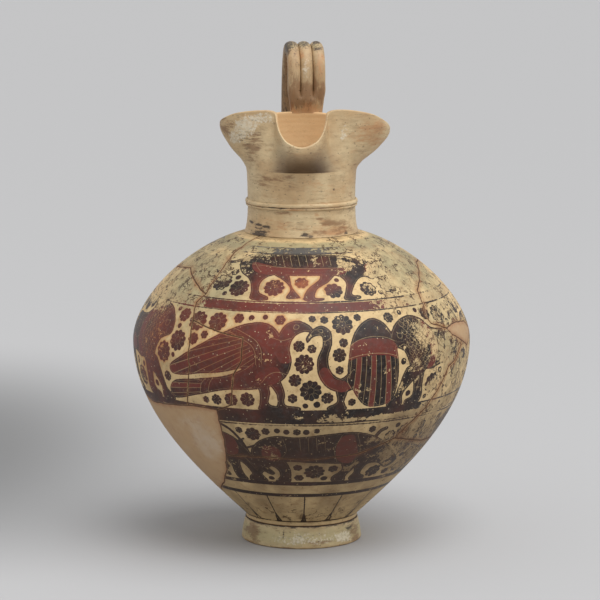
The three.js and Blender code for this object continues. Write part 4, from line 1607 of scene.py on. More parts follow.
@dataclass
class Handle:
    """The handle: three rolls of clay side by side, with the clay that joins them at both ends.

    Attributes:
        shift: how far to the right of the axis it stands.
        yaw: how far it is turned.
        seat: the gap between two pieces.
        crown_rise: how high its line gets above the back of the rim.
        spread: how much wider the lower root gets.
    """

    wall: Wall
    mouth: Mouth
    shift: float = 10.2
    yaw: float = math.radians(5.8)
    width: float = 11.35
    depth: float = 12.4
    seat: float = 0.3
    front_reach: float = 54.5
    back_reach: float = 121.0
    start_rise: float = 20.0
    crown_rise: float = 57.0
    end_rise: float = 16.4
    root_width: float = 30.0
    root_depth: float = 13.0
    rim_root: float = 45.0
    shoulder_root: float = 30.0
    spread: float = 8.0
    around: int = 32
    along: int = 170
    line_step: float = 2.13

    # Shares of the way back and of the way up
    line_shares = rows("""0,0.8 0.01,0.9 0.08,0.955 0.22,0.99 0.4,1 0.6,0.98 0.77,0.92 0.88,0.82 0.95,0.6
        1,0.32 0.995,0.13 0.96,0""")
    # Share of a root's length, shares of its width and depth, and how far it leans in
    rim_root_shares = rows("""-0.2,1.14,0.9,0 -0.1,1.175,0.975,0 0,1.18,1,0 0.22,1.08,0.95,-0.02
        0.44,1,0.82,-0.09 0.65,0.95,0.8,0.08 0.88,0.86,0.5,0.24 1,0.7,0.22,0.3""")
    shoulder_root_shares = rows("""-0.3,0.5,0.9,0 -0.15,0.64,0.975,0 0,0.68,1,0 0.35,0.78,1.3,0.05
        0.7,1,1.45,-0.05 1,1.1,1.2,-0.2""")

    def __post_init__(self) -> None:
        """Lays the handle's middle line, as reaches and heights."""
        rim_back, span = self.mouth.crease + self.mouth.back[1], self.back_reach - self.front_reach
        end = float(self._ground(self.front_reach + self.line_shares[-1][0] * span)) + self.end_rise
        points = [(self.front_reach + span * out, end + (rim_back + self.crown_rise - end) * up)
                  for out, up in self.line_shares]
        points[0] = (points[0][0], rim_back + self.start_rise)
        self.line = even_path(smooth_path(points, False, 14), self.along)
        run = np.gradient(self.line, axis=0)
        self.run = run / np.linalg.norm(run, axis=1)[:, None]

    def _ground(self, radius: float | Array) -> float | Array:
        """The height of the shoulder at a radius."""
        return np.interp(-radius, -self.wall.radius[self.wall.steps:], self.wall.height[self.wall.steps:])

    def _placed(self, points: Array) -> Array:
        """Turns points of the handle's own frame into the jug's."""
        (x, y, z), cos, sin = np.moveaxis(points, -1, 0), math.cos(self.yaw), math.sin(self.yaw)
        return np.stack([x * cos - y * sin + self.shift, x * sin + y * cos, z], axis=-1)

    @staticmethod
    def _section(x: Array, out: Array, middle: Array, run: Array) -> Array:
        """A section across the handle's line, from how far its points lie to the right and outside."""
        return np.stack([x, middle[0] + run[1] * out, middle[1] - run[0] * out], axis=-1)

    def build(self, material: bpy.types.Material) -> None:
        """Builds the rolls and both roots, each in place of its node.

        Args:
            material: their material.
        """
        parts = {"reed_" + side: (self._reed(place), HANDLE_STAINS[side], 50)
                 for place, side in enumerate(HANDLE_STAINS, -1)}
        parts["root_rim"] = self._rim_root(), ROOT_STAINS, 60
        parts["root_shoulder"] = self._shoulder_root(), ROOT_STAINS, 60
        for name, (surface, stains, sharp) in parts.items():
            hand_in_stained("handle_" + name, surface, stains, material, sharp)

    def _reed(self, place: int) -> Surface:
        """One roll, a little flattened on top and where it touches its neighbours.

        Args:
            place: -1 for the left one, 0 for the middle one and 1 for the right one.

        Returns:
            Its surface.
        """
        pitch = self.width + self.seat
        flat = (0.62, 0.72, 0.95)[place + 1]
        turn = TURN * np.arange(self.around) / self.around
        length = np.linspace(0, 360, self.along)
        swell = 1 + 0.022 * ripple(length, 0 * length + 30 * place, 70, 40 + place)
        rings = []
        for number in range(self.along):
            half = (self.width / 2 + 0.35) * swell[number]
            x = np.clip(half * np.cos(turn), -pitch / 2 + 0.06, pitch / 2 - 0.06) + place * pitch
            out = self.depth / 2 * swell[number] * squared(np.sin(turn), flat)
            rings.append(self._section(x, out, self.line[number], self.run[number]))
        return loft(self._placed(np.array(rings)), True)

    def _root(self, end: int, shares: Points, length: float, spread: float) -> Array:
        """A root's sections, from the front end of the rolls, 0, or from their back end, -1."""
        path = even_path(smooth_path(shares, False, 12), 60)
        return self._placed(np.array([self._root_ring(end, share, length, spread) for share in path]))

    def _rim_root(self) -> Surface:
        """The clay that joins the rolls to the back of the rim, kept out of the mouth.

        Returns:
            Its surface.
        """
        mouth, points = self.mouth, self._root(0, self.rim_root_shares, self.rim_root, 0.0)
        turn, radius = turns_and_radii(points)
        rim, height = (part.reshape(turn.shape) for part in mouth.rim(turn.reshape(-1)))
        over = points[..., 2] - height
        inner = rim - mouth.rim_wall - 0.15 - 0.25 * np.maximum(over, 0)
        up = np.clip((points[..., 2] - mouth.crease) / (height - mouth.crease), 0, 1)
        floor = np.where(over < -2.0, mouth.reach(rim, up, turn) - 1.2, inner)
        points[..., :2] *= (np.maximum(floor, radius) / np.maximum(radius, 1e-6))[..., None]
        return loft(points, True)

    def _shoulder_root(self) -> Surface:
        """The clay that joins the rolls to the shoulder, smeared out over it.

        Returns:
            Its surface.
        """
        points = self._root(-1, self.shoulder_root_shares, self.shoulder_root, self.spread)
        points[..., 2] = np.maximum(points[..., 2], self._ground(turns_and_radii(points)[1]) - 1.0)
        return loft(points, True)

    def _root_ring(self, end: int, share: Array, length: float, spread: float) -> Array:
        """One section of a root: three rolls that run together along it.

        Args:
            end: 0 for the reeds' front end, -1 for their back end.
            share: how far along, then shares of the width and the depth and of how far it leans in.
            length: the root's length.
            spread: how much wider it gets.

        Returns:
            A ring of points.
        """
        along, wide, deep, lean = share
        way = 1 if end else -1
        run = way * self.run[end]
        middle = self.line[end] + run * (self.seat + along * length) + np.array([-lean * self.root_depth, 0])
        if along < 0:
            step = int(round(-along * length / self.line_step))
            middle, run = self.line[end - way * step], way * self.run[end - way * step]
        width = self.root_width + wide * spread if spread else self.root_width * wide
        turn = TURN * np.arange(96) / 96
        x = width / 2 * squared(np.cos(turn), 0.8)
        pitch = width * (self.width + self.seat) / (3 * self.width + 2 * self.seat)
        near = (x - pitch * np.clip(np.round(x / pitch), -1, 1)) / (width / 2 - pitch)
        rolled, smooth = np.sqrt(np.clip(1 - near**2, 0, 1)), np.abs(np.sin(turn)) ** 0.7
        grooved = np.clip(0.75 - along * length / 12, 0, 1)
        out = self.root_depth * deep / 2 * np.sign(np.sin(turn)) * (smooth + (rolled - smooth) * grooved)
        return self._section(x, out, middle, run)


# Shader nodes


def srgb(red: int, green: int, blue: int) -> tuple[float, float, float, float]:
    """A colour given as it looks on a screen, from 0 to 255, in linear values."""
    parts = [part / 255 for part in (red, green, blue)]
    return (*(part / 12.92 if part <= 0.04045 else ((part + 0.055) / 1.055) ** 2.4 for part in parts), 1.0)


@dataclass
class Signal:
    """The output of a node; sums and products of it are nodes, too."""

    nodes: "Nodes"
    socket: bpy.types.NodeSocket

    def __add__(self, other: "Value") -> "Signal":
        """A sum."""
        return self.nodes.math("ADD", self, other)

    def __mul__(self, other: "Value") -> "Signal":
        """A product."""
        return self.nodes.math("MULTIPLY", self, other)

    def __sub__(self, other: "Value") -> "Signal":
        """A difference."""
        return self.nodes.math("SUBTRACT", self, other)

    def __rsub__(self, other: "Value") -> "Signal":
        """A difference from a number."""
        return self.nodes.math("SUBTRACT", other, self)

    def __abs__(self) -> "Signal":
        """The size without the sign."""
        return self.nodes.math("ABSOLUTE", self)


Value = float | Signal
Colour = tuple[float, float, float, float] | Signal


@dataclass
class Nodes:
    """Adds nodes to a tree and joins them up."""

    tree: bpy.types.NodeTree

    def add(self, kind: str, inputs: Inputs | None = None, **settings: object) -> bpy.types.Node:
        """Adds one node.

        Args:
            kind: the node's type.
            inputs: what its inputs are set to or linked with.
            settings: its other settings.

        Returns:
            The node.
        """
        node = self.tree.nodes.new(kind)
        for name, value in settings.items():
            setattr(node, name, value)
        for name, value in (inputs or {}).items():
            if isinstance(value, Signal):
                self.tree.links.new(value.socket, node.inputs[name])
            else:
                node.inputs[name].default_value = value
        return node

    def signal(self, kind: str, inputs: Inputs | None = None, output: int | str = 0,
               **settings: object) -> Signal:
        """One output of a new node."""
        return Signal(self, self.add(kind, inputs, **settings).outputs[output])

    def math(self, operation: str, *values: Value) -> Signal:
        """A sum, a product or the like."""
        return self.signal("ShaderNodeMath", dict(enumerate(values)), operation=operation)

    def step(self, value: Value, low: Value, high: Value, start: float = 0.0, end: float = 1.0) -> Signal:
        """A smooth change from start to end as a value goes from low to high."""
        inputs = {"Value": value, "From Min": low, "From Max": high, "To Min": start, "To Max": end}
        return self.signal("ShaderNodeMapRange", inputs, interpolation_type="SMOOTHSTEP")

    def mix(self, share: Value, below: Colour, above: Colour, blend: str = "MIX") -> Signal:
        """One colour over another."""
        inputs = {0: share, 6: below, 7: above}
        return self.signal("ShaderNodeMix", inputs, 2, data_type="RGBA", blend_type=blend, clamp_factor=True)

    def layers(self, colour: Colour, *coats: tuple[Value, Colour]) -> Signal:
        """Coats over a colour, each with the share that it covers."""
        for share, coat in coats:
            colour = self.mix(share, colour, coat)
        return colour

    def tinted(self, colour: Colour, mottle: Signal) -> Signal:
        """A colour made lighter and darker by a mottle."""
        grey = self.signal("ShaderNodeCombineColor", {"Red": mottle, "Green": mottle, "Blue": mottle})
        return self.mix(1.0, colour, grey, "MULTIPLY")

    def read(self, name: str) -> Signal:
        """An attribute of the mesh."""
        return self.signal("ShaderNodeAttribute", None, "Fac", attribute_name=name)

    def place(self, stretch: Triple = (1, 1, 1)) -> Signal:
        """The place on the object, in metres, stretched along its axes."""
        spot = self.signal("ShaderNodeTexCoord", None, "Object")
        return self.signal("ShaderNodeMapping", {"Vector": spot, "Scale": stretch})

    def height(self) -> Signal:
        """The height on the object, in metres."""
        return self.signal("ShaderNodeSeparateXYZ", {"Vector": self.place()}, "Z")

    def noise(self, size: float, detail: float = 4.0, rough: float = 0.55, spot: Signal | None = None,
              offset: float = 0.0) -> Signal:
        """Cloudy noise, from 0 to 1: its waves have a size in millimetres, and offset picks one of many."""
        inputs = {"Vector": spot or self.place(), "W": offset, "Scale": 1000 / size, "Detail": detail,
                  "Roughness": rough}
        return self.signal("ShaderNodeTexNoise", inputs, noise_dimensions="4D")

    def cells(self, size: float) -> Signal:
        """The distance to the nearest of points scattered about a size apart."""
        return self.signal("ShaderNodeTexVoronoi", {"Vector": self.place(), "Scale": 1000 / size}, "Distance")

    def relief(self, height: Signal, strength: float, distance: float) -> Signal:
        """The direction of a surface roughened by a height."""
        return self.signal("ShaderNodeBump", {"Strength": strength, "Distance": distance, "Height": height})


def make_group(name: str, inputs: dict[str, float], outputs: tuple[str, ...],
               fill: Callable[..., tuple[Signal, ...]]) -> bpy.types.NodeTree:
    """Makes a shader node group of numbers.

    Args:
        name: its name.
        inputs: its inputs and their first values.
        outputs: its outputs.
        fill: takes the group's Nodes and a signal from each input, and returns one for each output.

    Returns:
        The group.
    """
    tree = bpy.data.node_groups.new(name, "ShaderNodeTree")
    for label, value in inputs.items():
        tree.interface.new_socket(label, in_out="INPUT", socket_type="NodeSocketFloat").default_value = value
    for label in outputs:
        tree.interface.new_socket(label, in_out="OUTPUT", socket_type="NodeSocketFloat")
    nodes = Nodes(tree)
    entry = nodes.add("NodeGroupInput").outputs
    results = fill(nodes, *(Signal(nodes, entry[label]) for label in inputs))
    nodes.add("NodeGroupOutput", dict(zip(outputs, results)))
    return tree


def grain(nodes: Nodes, mottle: Signal, tooth: Signal) -> tuple[Signal, Signal]:
    """Fine clay grain: its mottle and its height."""
    pits = nodes.step(nodes.cells(3.6), 0.0, 0.22)
    return (nodes.noise(9.0, 5.0, 0.6) - 0.5) * mottle + 1.0, nodes.noise(1.4, 3.0, 0.6) * tooth + pits * 0.25


def flaking(nodes: Nodes, loss: Signal) -> tuple[Signal]:
    """The mask of what is left of a skin that flakes off."""
    level = (nodes.noise(17.0, 6.0, 0.62) * 0.5 + nodes.noise(3.4, 4.0, 0.6) * 0.35
             + nodes.noise(1.3, 2.0, 0.5) * 0.15)
    return (nodes.step(level - (loss * 0.36 + 0.28), -0.006, 0.012),)


def deposit(nodes: Nodes, amount: Signal) -> tuple[Signal]:
    """Makes a lime deposit from the ground: thin, streaked and speckled.

    Args:
        nodes: the group's nodes.
        amount: how much of it there is.

    Returns:
        Its mask.
    """
    specks = nodes.noise(2.0, 3.0, 0.6)
    level = nodes.noise(14.0, 6.0, 0.65, nodes.place((0.8, 0.8, 1.5))) * 0.5 + specks * 0.5
    mask = nodes.step(level, 0.7 - amount * 0.2, 0.8 - amount * 0.16)
    return (mask * nodes.step(specks, 0.36, 0.6, 0.35, 1.0),)


@dataclass
class Effects:
    """The effects that several finishes share, each a node group made once."""

    def __post_init__(self) -> None:
        """Makes the groups."""
        self.grain = make_group("clay grain", {"Mottle": 0.2, "Tooth": 0.5}, ("Mottle", "Height"), grain)
        self.flaking = make_group("flaking", {"Loss": 0.3}, ("Left",), flaking)
        self.deposit = make_group("lime deposit", {"Amount": 0.3}, ("Mask",), deposit)

    @staticmethod
    def use(nodes: Nodes, group: bpy.types.NodeTree, values: dict[str, Value]) -> list[Signal]:
        """Places a group in a material, and gives its outputs."""
        node = nodes.add("ShaderNodeGroup", values, node_tree=group)
        return [Signal(nodes, output) for output in node.outputs]


@dataclass(frozen=True)
class Finish:
    """What every finish has."""

    name: str

    def material(self, effects: Effects) -> bpy.types.Material:
        """Makes the material.

        Args:
            effects: the effects that it shares.

        Returns:
            The material.
        """
        made = bpy.data.materials.new(self.name)
        made.use_nodes = True
        made.node_tree.nodes.clear()
        nodes = Nodes(made.node_tree)
        shader = nodes.signal("ShaderNodeBsdfPrincipled", self.dress(nodes, effects))
        nodes.add("ShaderNodeOutputMaterial", {"Surface": shader})
        return made

    def dress(self, nodes: Nodes, effects: Effects) -> dict[str, Value]:
        """Lays the finish.

        Args:
            nodes: the material's nodes.
            effects: the effects that it shares.

        Returns:
            What the shader's inputs are set to or linked with.
        """
        raise NotImplementedError


@dataclass(frozen=True)
class PaintedSlip(Finish):
    """Pale slip with figures painted in a slip that fired from black to maroon and orange."""

    name: str = "painted slip"
    ground: Colour = srgb(216, 187, 138)
    ground_pale: Colour = srgb(172, 158, 120)
    ground_brown: Colour = srgb(142, 118, 86)
    stained: Colour = srgb(140, 100, 60)
    black: Colour = srgb(35, 26, 23)
    maroon: Colour = srgb(104, 49, 38)
    orange: Colour = srgb(176, 94, 42)
    purple: Colour = srgb(113, 51, 41)
    brown: Colour = srgb(74, 48, 38)
    singed: Colour = srgb(184, 116, 60)
    painted_sheen: Colour = srgb(112, 110, 106)
    # Dark brown of dirt, scratches and cracks, and of the painted shade under the belly
    soil_and_shade: Colour = srgb(66, 44, 30)
    bare: Colour = srgb(176, 126, 84)
    rust: Colour = srgb(142, 88, 50)
    lime: Colour = srgb(206, 196, 168)
    chipped: Colour = srgb(206, 186, 150)

    def dress(self, nodes: Nodes, effects: Effects) -> dict[str, Value]:
        """Paints the ground, the figures, the wear and the cracks."""
        read, step = nodes.read, nodes.step
        mottle, tooth = effects.use(nodes, effects.grain, {"Mottle": 0.5, "Tooth": 0.5})
        waver = (nodes.noise(2.2, 3.0) - 0.5) * 1.1

        def inked(name: str) -> Signal:
            """The inside of a painted area, with a brush's slightly uneven edge."""
            return step(read(name) + waver, -0.22, 0.22)

        wear, broken, shape = read("wear"), read("crack"), read("figure")
        band, line = inked("band"), inked("line")
        paint = nodes.math("MAXIMUM", inked("figure"), nodes.math("MAXIMUM", band, line))
        singed = step(shape, -3.0, 0.4) * step(read("fire"), 0.25, 0.7, 0.0, 0.75)
        ground = nodes.mix(singed, self._ground(nodes, mottle), self.singed)
        colour = self._paint(nodes, inked("maroon"), band)
        # What is lost: worn places, the rims of figures, the edges of breaks; thin lines hold better
        loss = wear + step(abs(shape - 0.2), 0.5, 1.6) * 0.16 + step(broken, 1.6, 0.2, 0.0, 0.4)
        loss = loss - line * step(read("line"), 1.7, 1.1) * 0.35
        (kept,) = effects.use(nodes, effects.flaking, {"Loss": loss})
        scratched = self._scratches(nodes, waver)
        left = paint * kept * (1.0 - scratched * 0.5)
        ghost = nodes.mix(paint * 0.3, ground, nodes.mix(0.5, colour, ground))
        (lime,) = effects.use(nodes, effects.deposit, {"Amount": wear * 0.45})
        chips = step(nodes.cells(4.5), 0.13, 0.08) * paint
        crack = broken + waver * 0.6
        surface = nodes.layers(
            ghost,
            (left, colour),
            ((paint - paint * kept) * scratched * 0.85, self.soil_and_shade),
            (self._traces(nodes, wear), self.soil_and_shade),
            (self._rust(nodes, wear, broken), self.rust),
            (lime * 0.5, self.lime),
            (chips * 0.8, self.chipped),
            (step(crack, 1.3, 0.3, 0.0, 0.5), self.bare),
            (step(crack, 0.75, 0.3, 0.0, 0.9), self.soil_and_shade),
            # Painted shade, with brown grime, darkens the underside of the belly
            (self._grime_and_painted_shade(nodes), self.soil_and_shade),
            (read("inside"), self.bare),
        )
        return {"Base Color": surface, "Roughness": (nodes.noise(26.0, 3.0) - left) * 0.16 + 0.5,
                "Specular IOR Level": 0.28, "Normal": nodes.relief(tooth + left * 0.35, 0.35, 0.0004)}

    def _ground(self, nodes: Nodes, mottle: Signal) -> Signal:
        """Lays the slip between the figures.

        Args:
            nodes: the material's nodes.
            mottle: how light and dark the clay is.

        Returns:
            Its colour.
        """
        tone = nodes.read("tone") + (nodes.noise(30.0, 5.0, 0.6) - 0.5)
        ground = nodes.layers(
            self.ground,
            (nodes.step(tone, 0.0, -0.75), self.ground_pale),
            (nodes.step(tone, 0.05, 0.9), self.ground_brown),
            (nodes.step(nodes.noise(8.0, 6.0, 0.72, offset=3.0), 0.47, 0.72) * 0.55, self.stained),
            (nodes.step(nodes.cells(5.2), 0.12, 0.07, 0.0, 0.7), self.soil_and_shade),
        )
        return nodes.tinted(ground, mottle)

    @staticmethod
    def _traces(nodes: Nodes, wear: Signal) -> Signal:
        """Finds where worn paint left crooked traces of its outlines.

        Args:
            nodes: the material's nodes.
            wear: how worn the paint is.

        Returns:
            The mask of the traces.
        """
        strand = abs(nodes.noise(9.0, 4.0, 0.6, offset=5.0) - 0.5)
        line = nodes.step(strand, 0.036, 0.012) * nodes.step(nodes.noise(11.0, 3.0), 0.45, 0.56)
        pits = nodes.step(nodes.cells(3.4), 0.24, 0.14) * nodes.step(nodes.noise(12.0), 0.5, 0.6)
        return nodes.math("MAXIMUM", line, pits) * nodes.step(wear, 0.2, 0.55, 0.0, 0.95)

    @staticmethod
    def _rust(nodes: Nodes, wear: Signal, broken: Signal) -> Signal:
        """Where earth has stained the clay along the breaks."""
        cloud = nodes.noise(14.0, 5.0, 0.65, offset=11.0) * 22.0 - 7.0
        return nodes.step(broken + cloud, 10.0, 2.0, 0.0, 0.6) * nodes.step(wear, 0.1, 0.5, 0.3, 1.0)

    @staticmethod
    def _grime_and_painted_shade(nodes: Nodes) -> Signal:
        """Darkens the underside of the belly towards the bottom: brown grime and painted shade."""
        level = nodes.height() + (nodes.noise(26.0, 6.0, 0.65, offset=8.0) - 0.5) * 0.1
        return nodes.step(level, 0.158, 0.115, 0.0, 0.5) * nodes.step(level, 0.045, 0.09, 0.4, 1.0)

    def _paint(self, nodes: Nodes, maroon: Signal, band: Signal) -> Signal:
        """Fires the painted slip, and greys it with a painted sheen.

        Args:
            nodes: the material's nodes.
            maroon: the mask of the areas with added maroon.
            band: the mask of the broad bands, which have it, too.

        Returns:
            Its colour.
        """
        fire = nodes.read("fire") + nodes.noise(16.0) * 0.7 - 0.33
        # Every third feather is painted with the added maroon
        third = nodes.math("FRACT", nodes.math("DIVIDE", nodes.read("barbs"), 3.0))
        feathers = nodes.math("GREATER_THAN", third, 0.6667) * nodes.step(nodes.read("barb_zone"), 0.0, 0.4)
        added = nodes.math("MAXIMUM", nodes.math("MAXIMUM", maroon, band), feathers)
        return nodes.layers(
            self.black,
            (nodes.step(fire, 0.05, 0.6), self.maroon),
            (nodes.step(fire, 0.72, 1.1), self.orange),
            (added * 0.86, self.purple),
            (nodes.step(nodes.noise(13.0, 5.0, 0.6, offset=6.0), 0.42, 0.68, 0.0, 0.55), self.brown),
            # A painted sheen greys the paint in patches, and on the paint above about 275 mm, round the
            # neck's foot
            (nodes.step(nodes.noise(4.0, 5.0, 0.7, offset=7.0), 0.45, 0.75) * 0.24, self.painted_sheen),
            (nodes.step(nodes.height(), 0.2745, 0.277, 0.0, 0.6), self.painted_sheen),
        )

    @staticmethod
    def _scratches(nodes: Nodes, waver: Signal) -> Signal:
        """Cuts the incised lines: the drawn ones and the feathers' barbs.

        Args:
            nodes: the material's nodes.
            waver: how their width varies.

        Returns:
            Their mask.
        """
        barbs = nodes.math("PINGPONG", nodes.read("barbs"), 0.5) * 6.0
        outside = nodes.step(nodes.read("barb_zone"), 0.4, -0.2, 0.0, 3.0)
        nearest = nodes.math("MINIMUM", abs(nodes.read("incised")), barbs + outside)
        line = nodes.step(nearest + waver * 0.3, 0.42, 0.12)
        return line * nodes.step(nodes.read("figure"), 0.2, 0.6)


@dataclass(frozen=True)
class PlainSlip(Finish):
    """Pale slip over buff clay, stained, with lime from the ground and shade painted under the spout and deep
    in the neck: neck, mouth, handle and foot.

    Attributes:
        streaks: how the stains are stretched along X, Y and Z.
        wheel: how deep the marks of the wheel or the hand are.
    """

    name: str = "plain slip"
    ground: Colour = srgb(196, 165, 122)
    light: Colour = srgb(212, 189, 148)
    rosy: Colour = srgb(190, 142, 98)
    brown: Colour = srgb(124, 86, 54)
    dark: Colour = srgb(52, 42, 38)
    olive: Colour = srgb(186, 174, 130)
    lime: Colour = srgb(222, 212, 190)
    peach: Colour = srgb(226, 184, 132)
    # Shade painted under the spout and deep in the neck; dark specks take this colour too
    shade: Colour = srgb(64, 42, 28)
    streaks: Triple = (0.6, 0.6, 2.2)
    wheel: float = 0.5

    def dress(self, nodes: Nodes, effects: Effects) -> dict[str, Value]:
        """Lays the slip, then its stains, then the painted shade."""
        mottle, tooth = effects.use(nodes, effects.grain, {"Mottle": 0.45, "Tooth": 0.6})
        wheel = nodes.noise(30.0, 5.0, 0.6, nodes.place(tuple(3.2 * side for side in self.streaks)))
        broad = nodes.noise(34.0, 4.0, 0.6, offset=2.0)
        (lime,) = effects.use(nodes, effects.deposit, {"Amount": nodes.read("pale") + 0.1})
        mouth_depth_and_shade = nodes.read("mouth_depth_and_shade")
        streaky = nodes.noise(11.0, 6.0, 0.7, nodes.place(self.streaks), 9.0)

        def stained(name: str, size: float) -> Signal:
            """The ragged mask of one kind of stain, made of streaks."""
            cloud = nodes.noise(size, 8.0, 0.74, nodes.place(self.streaks), size) * 4.0 - 2.0
            return nodes.step(nodes.read(name) + cloud, 0.2, 0.9)

        colour = nodes.layers(
            self.ground,
            (nodes.step(broad, 0.35, 0.65), self.light),
            (nodes.step(nodes.read("olive"), 0.2, 0.7), self.olive),
            (nodes.step(wheel, 0.45, 0.72, 0.0, 0.16), self.brown),
            (stained("rosy", 16.0) * 0.85, self.rosy),
            (nodes.step(streaky, 0.5, 0.74) * 0.4, self.brown),
            (stained("brown", 9.0) * 0.7, self.brown),
            (lime * 0.8, self.lime),
            (stained("dark", 4.0) * 0.9, self.dark),
            (nodes.step(nodes.cells(5.5), 0.13, 0.08) * 0.5, self.shade),
        )
        # Over the slip: shade painted under the spout, bare peach clay inside the mouth, and shade painted
        # deep in the neck
        colour = nodes.layers(
            nodes.tinted(colour, mottle),
            (nodes.step(mouth_depth_and_shade, -0.1, -0.9, 0.0, 0.9), self.shade),
            (nodes.step(mouth_depth_and_shade, 0.5, 0.95, 0.0, 0.75), self.peach),
            (nodes.step(mouth_depth_and_shade, 1.1, 2.0, 0.0, 0.85), self.shade),
        )
        height = tooth + wheel * self.wheel + lime * 0.4
        return {"Base Color": colour, "Roughness": broad * 0.14 + (lime * 0.12 + 0.5),
                "Normal": nodes.relief(height, 0.4, 0.0005)}


@dataclass(frozen=True)
class Plaster(Finish):
    """The mender's plaster, toned to the clay with thin paint."""

    name: str = "toned plaster"
    tone: Colour = srgb(180, 148, 110)
    pale: Colour = srgb(190, 168, 142)
    edge: Colour = srgb(146, 96, 62)
    seam: Colour = srgb(84, 54, 36)

    def dress(self, nodes: Nodes, effects: Effects) -> dict[str, Value]:
        """Tones the plaster and darkens it along its edges."""
        mottle, tooth = effects.use(nodes, effects.grain, {"Mottle": 0.16, "Tooth": 0.3})
        cloud, crack = nodes.noise(20.0, 6.0, 0.66), nodes.read("crack")
        colour = nodes.layers(
            self.tone,
            (nodes.step(cloud * 3.4 - nodes.read("tone") * 0.8, 1.9, 3.3), self.pale),
            (nodes.step(nodes.noise(7.0, 6.0, 0.7, offset=4.0), 0.5, 0.75, 0.0, 0.35), self.edge),
            (nodes.step(crack + nodes.noise(5.0) * 8.0, 10.0, 3.0, 0.0, 0.6), self.edge),
            (nodes.step(crack, 0.8, 0.2, 0.0, 0.85), self.seam),
        )
        return {"Base Color": nodes.tinted(colour, mottle), "Roughness": cloud * 0.1 + 0.62,
                "Normal": nodes.relief(tooth, 0.25, 0.0003)}


@dataclass(frozen=True)
class Paper(Finish):
    """The studio's grey paper with a soft shadow painted on it, whose place and size are in metres."""

    name: str = "paper"
    plain: Colour = srgb(186, 186, 187)
    shaded: Colour = srgb(118, 118, 118)
    patch: Triple = (-0.42, 0.4, 0.0)
    patch_size: Triple = (0.38, 0.7, 1.0)

    def dress(self, nodes: Nodes, effects: Effects) -> dict[str, Value]:
        """Paints the shadow on the paper."""
        spot = nodes.signal("ShaderNodeTexCoord", None, "Object")
        inputs = {"Vector": spot, "Location": self.patch, "Scale": self.patch_size}
        spot = nodes.signal("ShaderNodeMapping", inputs, vector_type="TEXTURE")
        patch = nodes.signal("ShaderNodeTexGradient", {"Vector": spot}, "Fac", gradient_type="SPHERICAL")
        colour = nodes.mix(nodes.step(patch, 0.0, 0.8, 0.0, 0.85), self.plain, self.shaded)
        return {"Base Color": colour, "Roughness": 0.9, "Specular IOR Level": 0.1}


# The studio


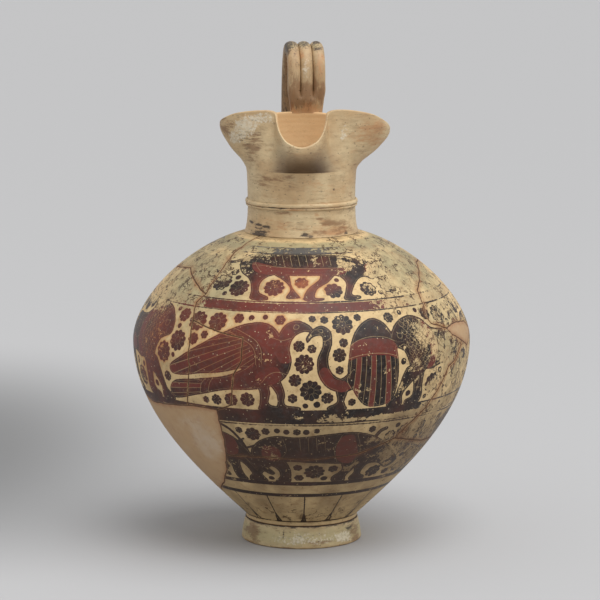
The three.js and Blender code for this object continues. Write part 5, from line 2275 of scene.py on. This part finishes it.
@dataclass
class Studio:
    """Floor, light and camera. Lengths here are metres, but the lens and its sensor are in millimetres."""

    aim: Triple = (-0.00138, 0.0, 0.222)
    distance: float = 2.9
    elevation: float = math.radians(8.9)
    lens: float = 189.1
    sensor: float = 36.0
    floor_radius: float = 40.0
    key_azimuth: float = math.radians(56)
    key_elevation: float = math.radians(63)
    key_power: float = 1.85
    key_width: float = math.radians(64)
    softbox: Triple = (0.35, -0.9, 2.2)
    softbox_size: float = 0.9
    softbox_power: float = 7
    fill: float = 0.6

    def build(self, paper: bpy.types.Material) -> None:
        """Sets everything up.

        Args:
            paper: the floor's material.
        """
        self._camera()
        self._floor(paper)
        self._lights()

    def _camera(self) -> None:
        """Makes the camera at the photograph's viewing angle."""
        lens = bpy.data.cameras.new("camera")
        lens.lens, lens.sensor_width, lens.sensor_fit = self.lens, self.sensor, "HORIZONTAL"
        camera = bpy.data.objects.new("camera", lens)
        back, up = self.distance * math.cos(self.elevation), self.distance * math.sin(self.elevation)
        camera.location = (self.aim[0], self.aim[1] - back, self.aim[2] + up)
        camera.rotation_euler = (math.pi / 2 - self.elevation, 0, 0)
        bpy.context.scene.collection.objects.link(camera)
        bpy.context.scene.camera = camera

    def _floor(self, paper: bpy.types.Material) -> None:
        """Makes the plain floor, a disc wide enough to fill any view.

        Args:
            paper: its material.
        """
        turn = TURN * np.arange(96) / 96
        points = np.stack([np.cos(turn), np.sin(turn), 0 * turn], axis=1) * self.floor_radius
        mesh = bpy.data.meshes.new("floor")
        mesh.from_pydata(points.tolist(), [], [list(range(96))])
        mesh.materials.append(paper)
        floor = bpy.data.objects.new("floor", mesh)
        bpy.context.scene.collection.objects.link(floor)

    def _lights(self) -> None:
        """Places the soft lights."""
        flat = math.cos(self.key_elevation)
        towards = Vector((flat * math.sin(self.key_azimuth), -flat * math.cos(self.key_azimuth),
                          math.sin(self.key_elevation)))
        sun = bpy.data.lights.new("key", "SUN")
        sun.energy, sun.angle = self.key_power, self.key_width
        self._hang(sun, Vector(), -towards)
        lamp = bpy.data.lights.new("softbox", "AREA")
        lamp.energy, lamp.size = self.softbox_power, self.softbox_size
        place = Vector(self.softbox)
        self._hang(lamp, place, Vector((0, 0, 0.22)) - place)
        world = bpy.data.worlds.new("studio")
        world.use_nodes = True
        background = world.node_tree.nodes["Background"]
        background.inputs["Color"].default_value = (1, 1, 1, 1)
        background.inputs["Strength"].default_value = self.fill
        bpy.context.scene.world = world
        bpy.context.scene.view_settings.view_transform = "Standard"

    @staticmethod
    def _hang(lamp: bpy.types.Light, place: Vector, aim: Vector) -> None:
        """Hangs up a light.

        Args:
            lamp: the light.
            place: where it hangs.
            aim: the direction in which it shines.
        """
        light = bpy.data.objects.new(lamp.name, lamp)
        light.location, light.rotation_euler = place, aim.to_track_quat("-Z", "Y").to_euler()
        bpy.context.scene.collection.objects.link(light)


def main() -> None:
    """Builds the jug, sub-assembly by sub-assembly."""
    logging.basicConfig(level=logging.INFO, format="%(name)s: %(message)s")
    effects = Effects()
    Studio().build(Paper().material(effects))
    painted = PaintedSlip().material(effects)
    slipped = PlainSlip().material(effects)
    stroked = PlainSlip("stroked slip", ground=srgb(182, 152, 112), light=srgb(198, 174, 136),
                        streaks=(2.0, 2.0, 0.5), wheel=0.2).material(effects)
    plaster = Plaster().material(effects)
    wall = Wall()
    canvas = Canvas(wall)
    Painter(canvas).paint()
    weather(canvas)
    Body(wall, canvas).build(painted, plaster)
    mouth = Mouth()
    mouth.build(slipped)
    NeckRing().build(slipped)
    Foot().build(slipped)
    Handle(wall, mouth).build(stroked)


if __name__ == "__main__":
    main()
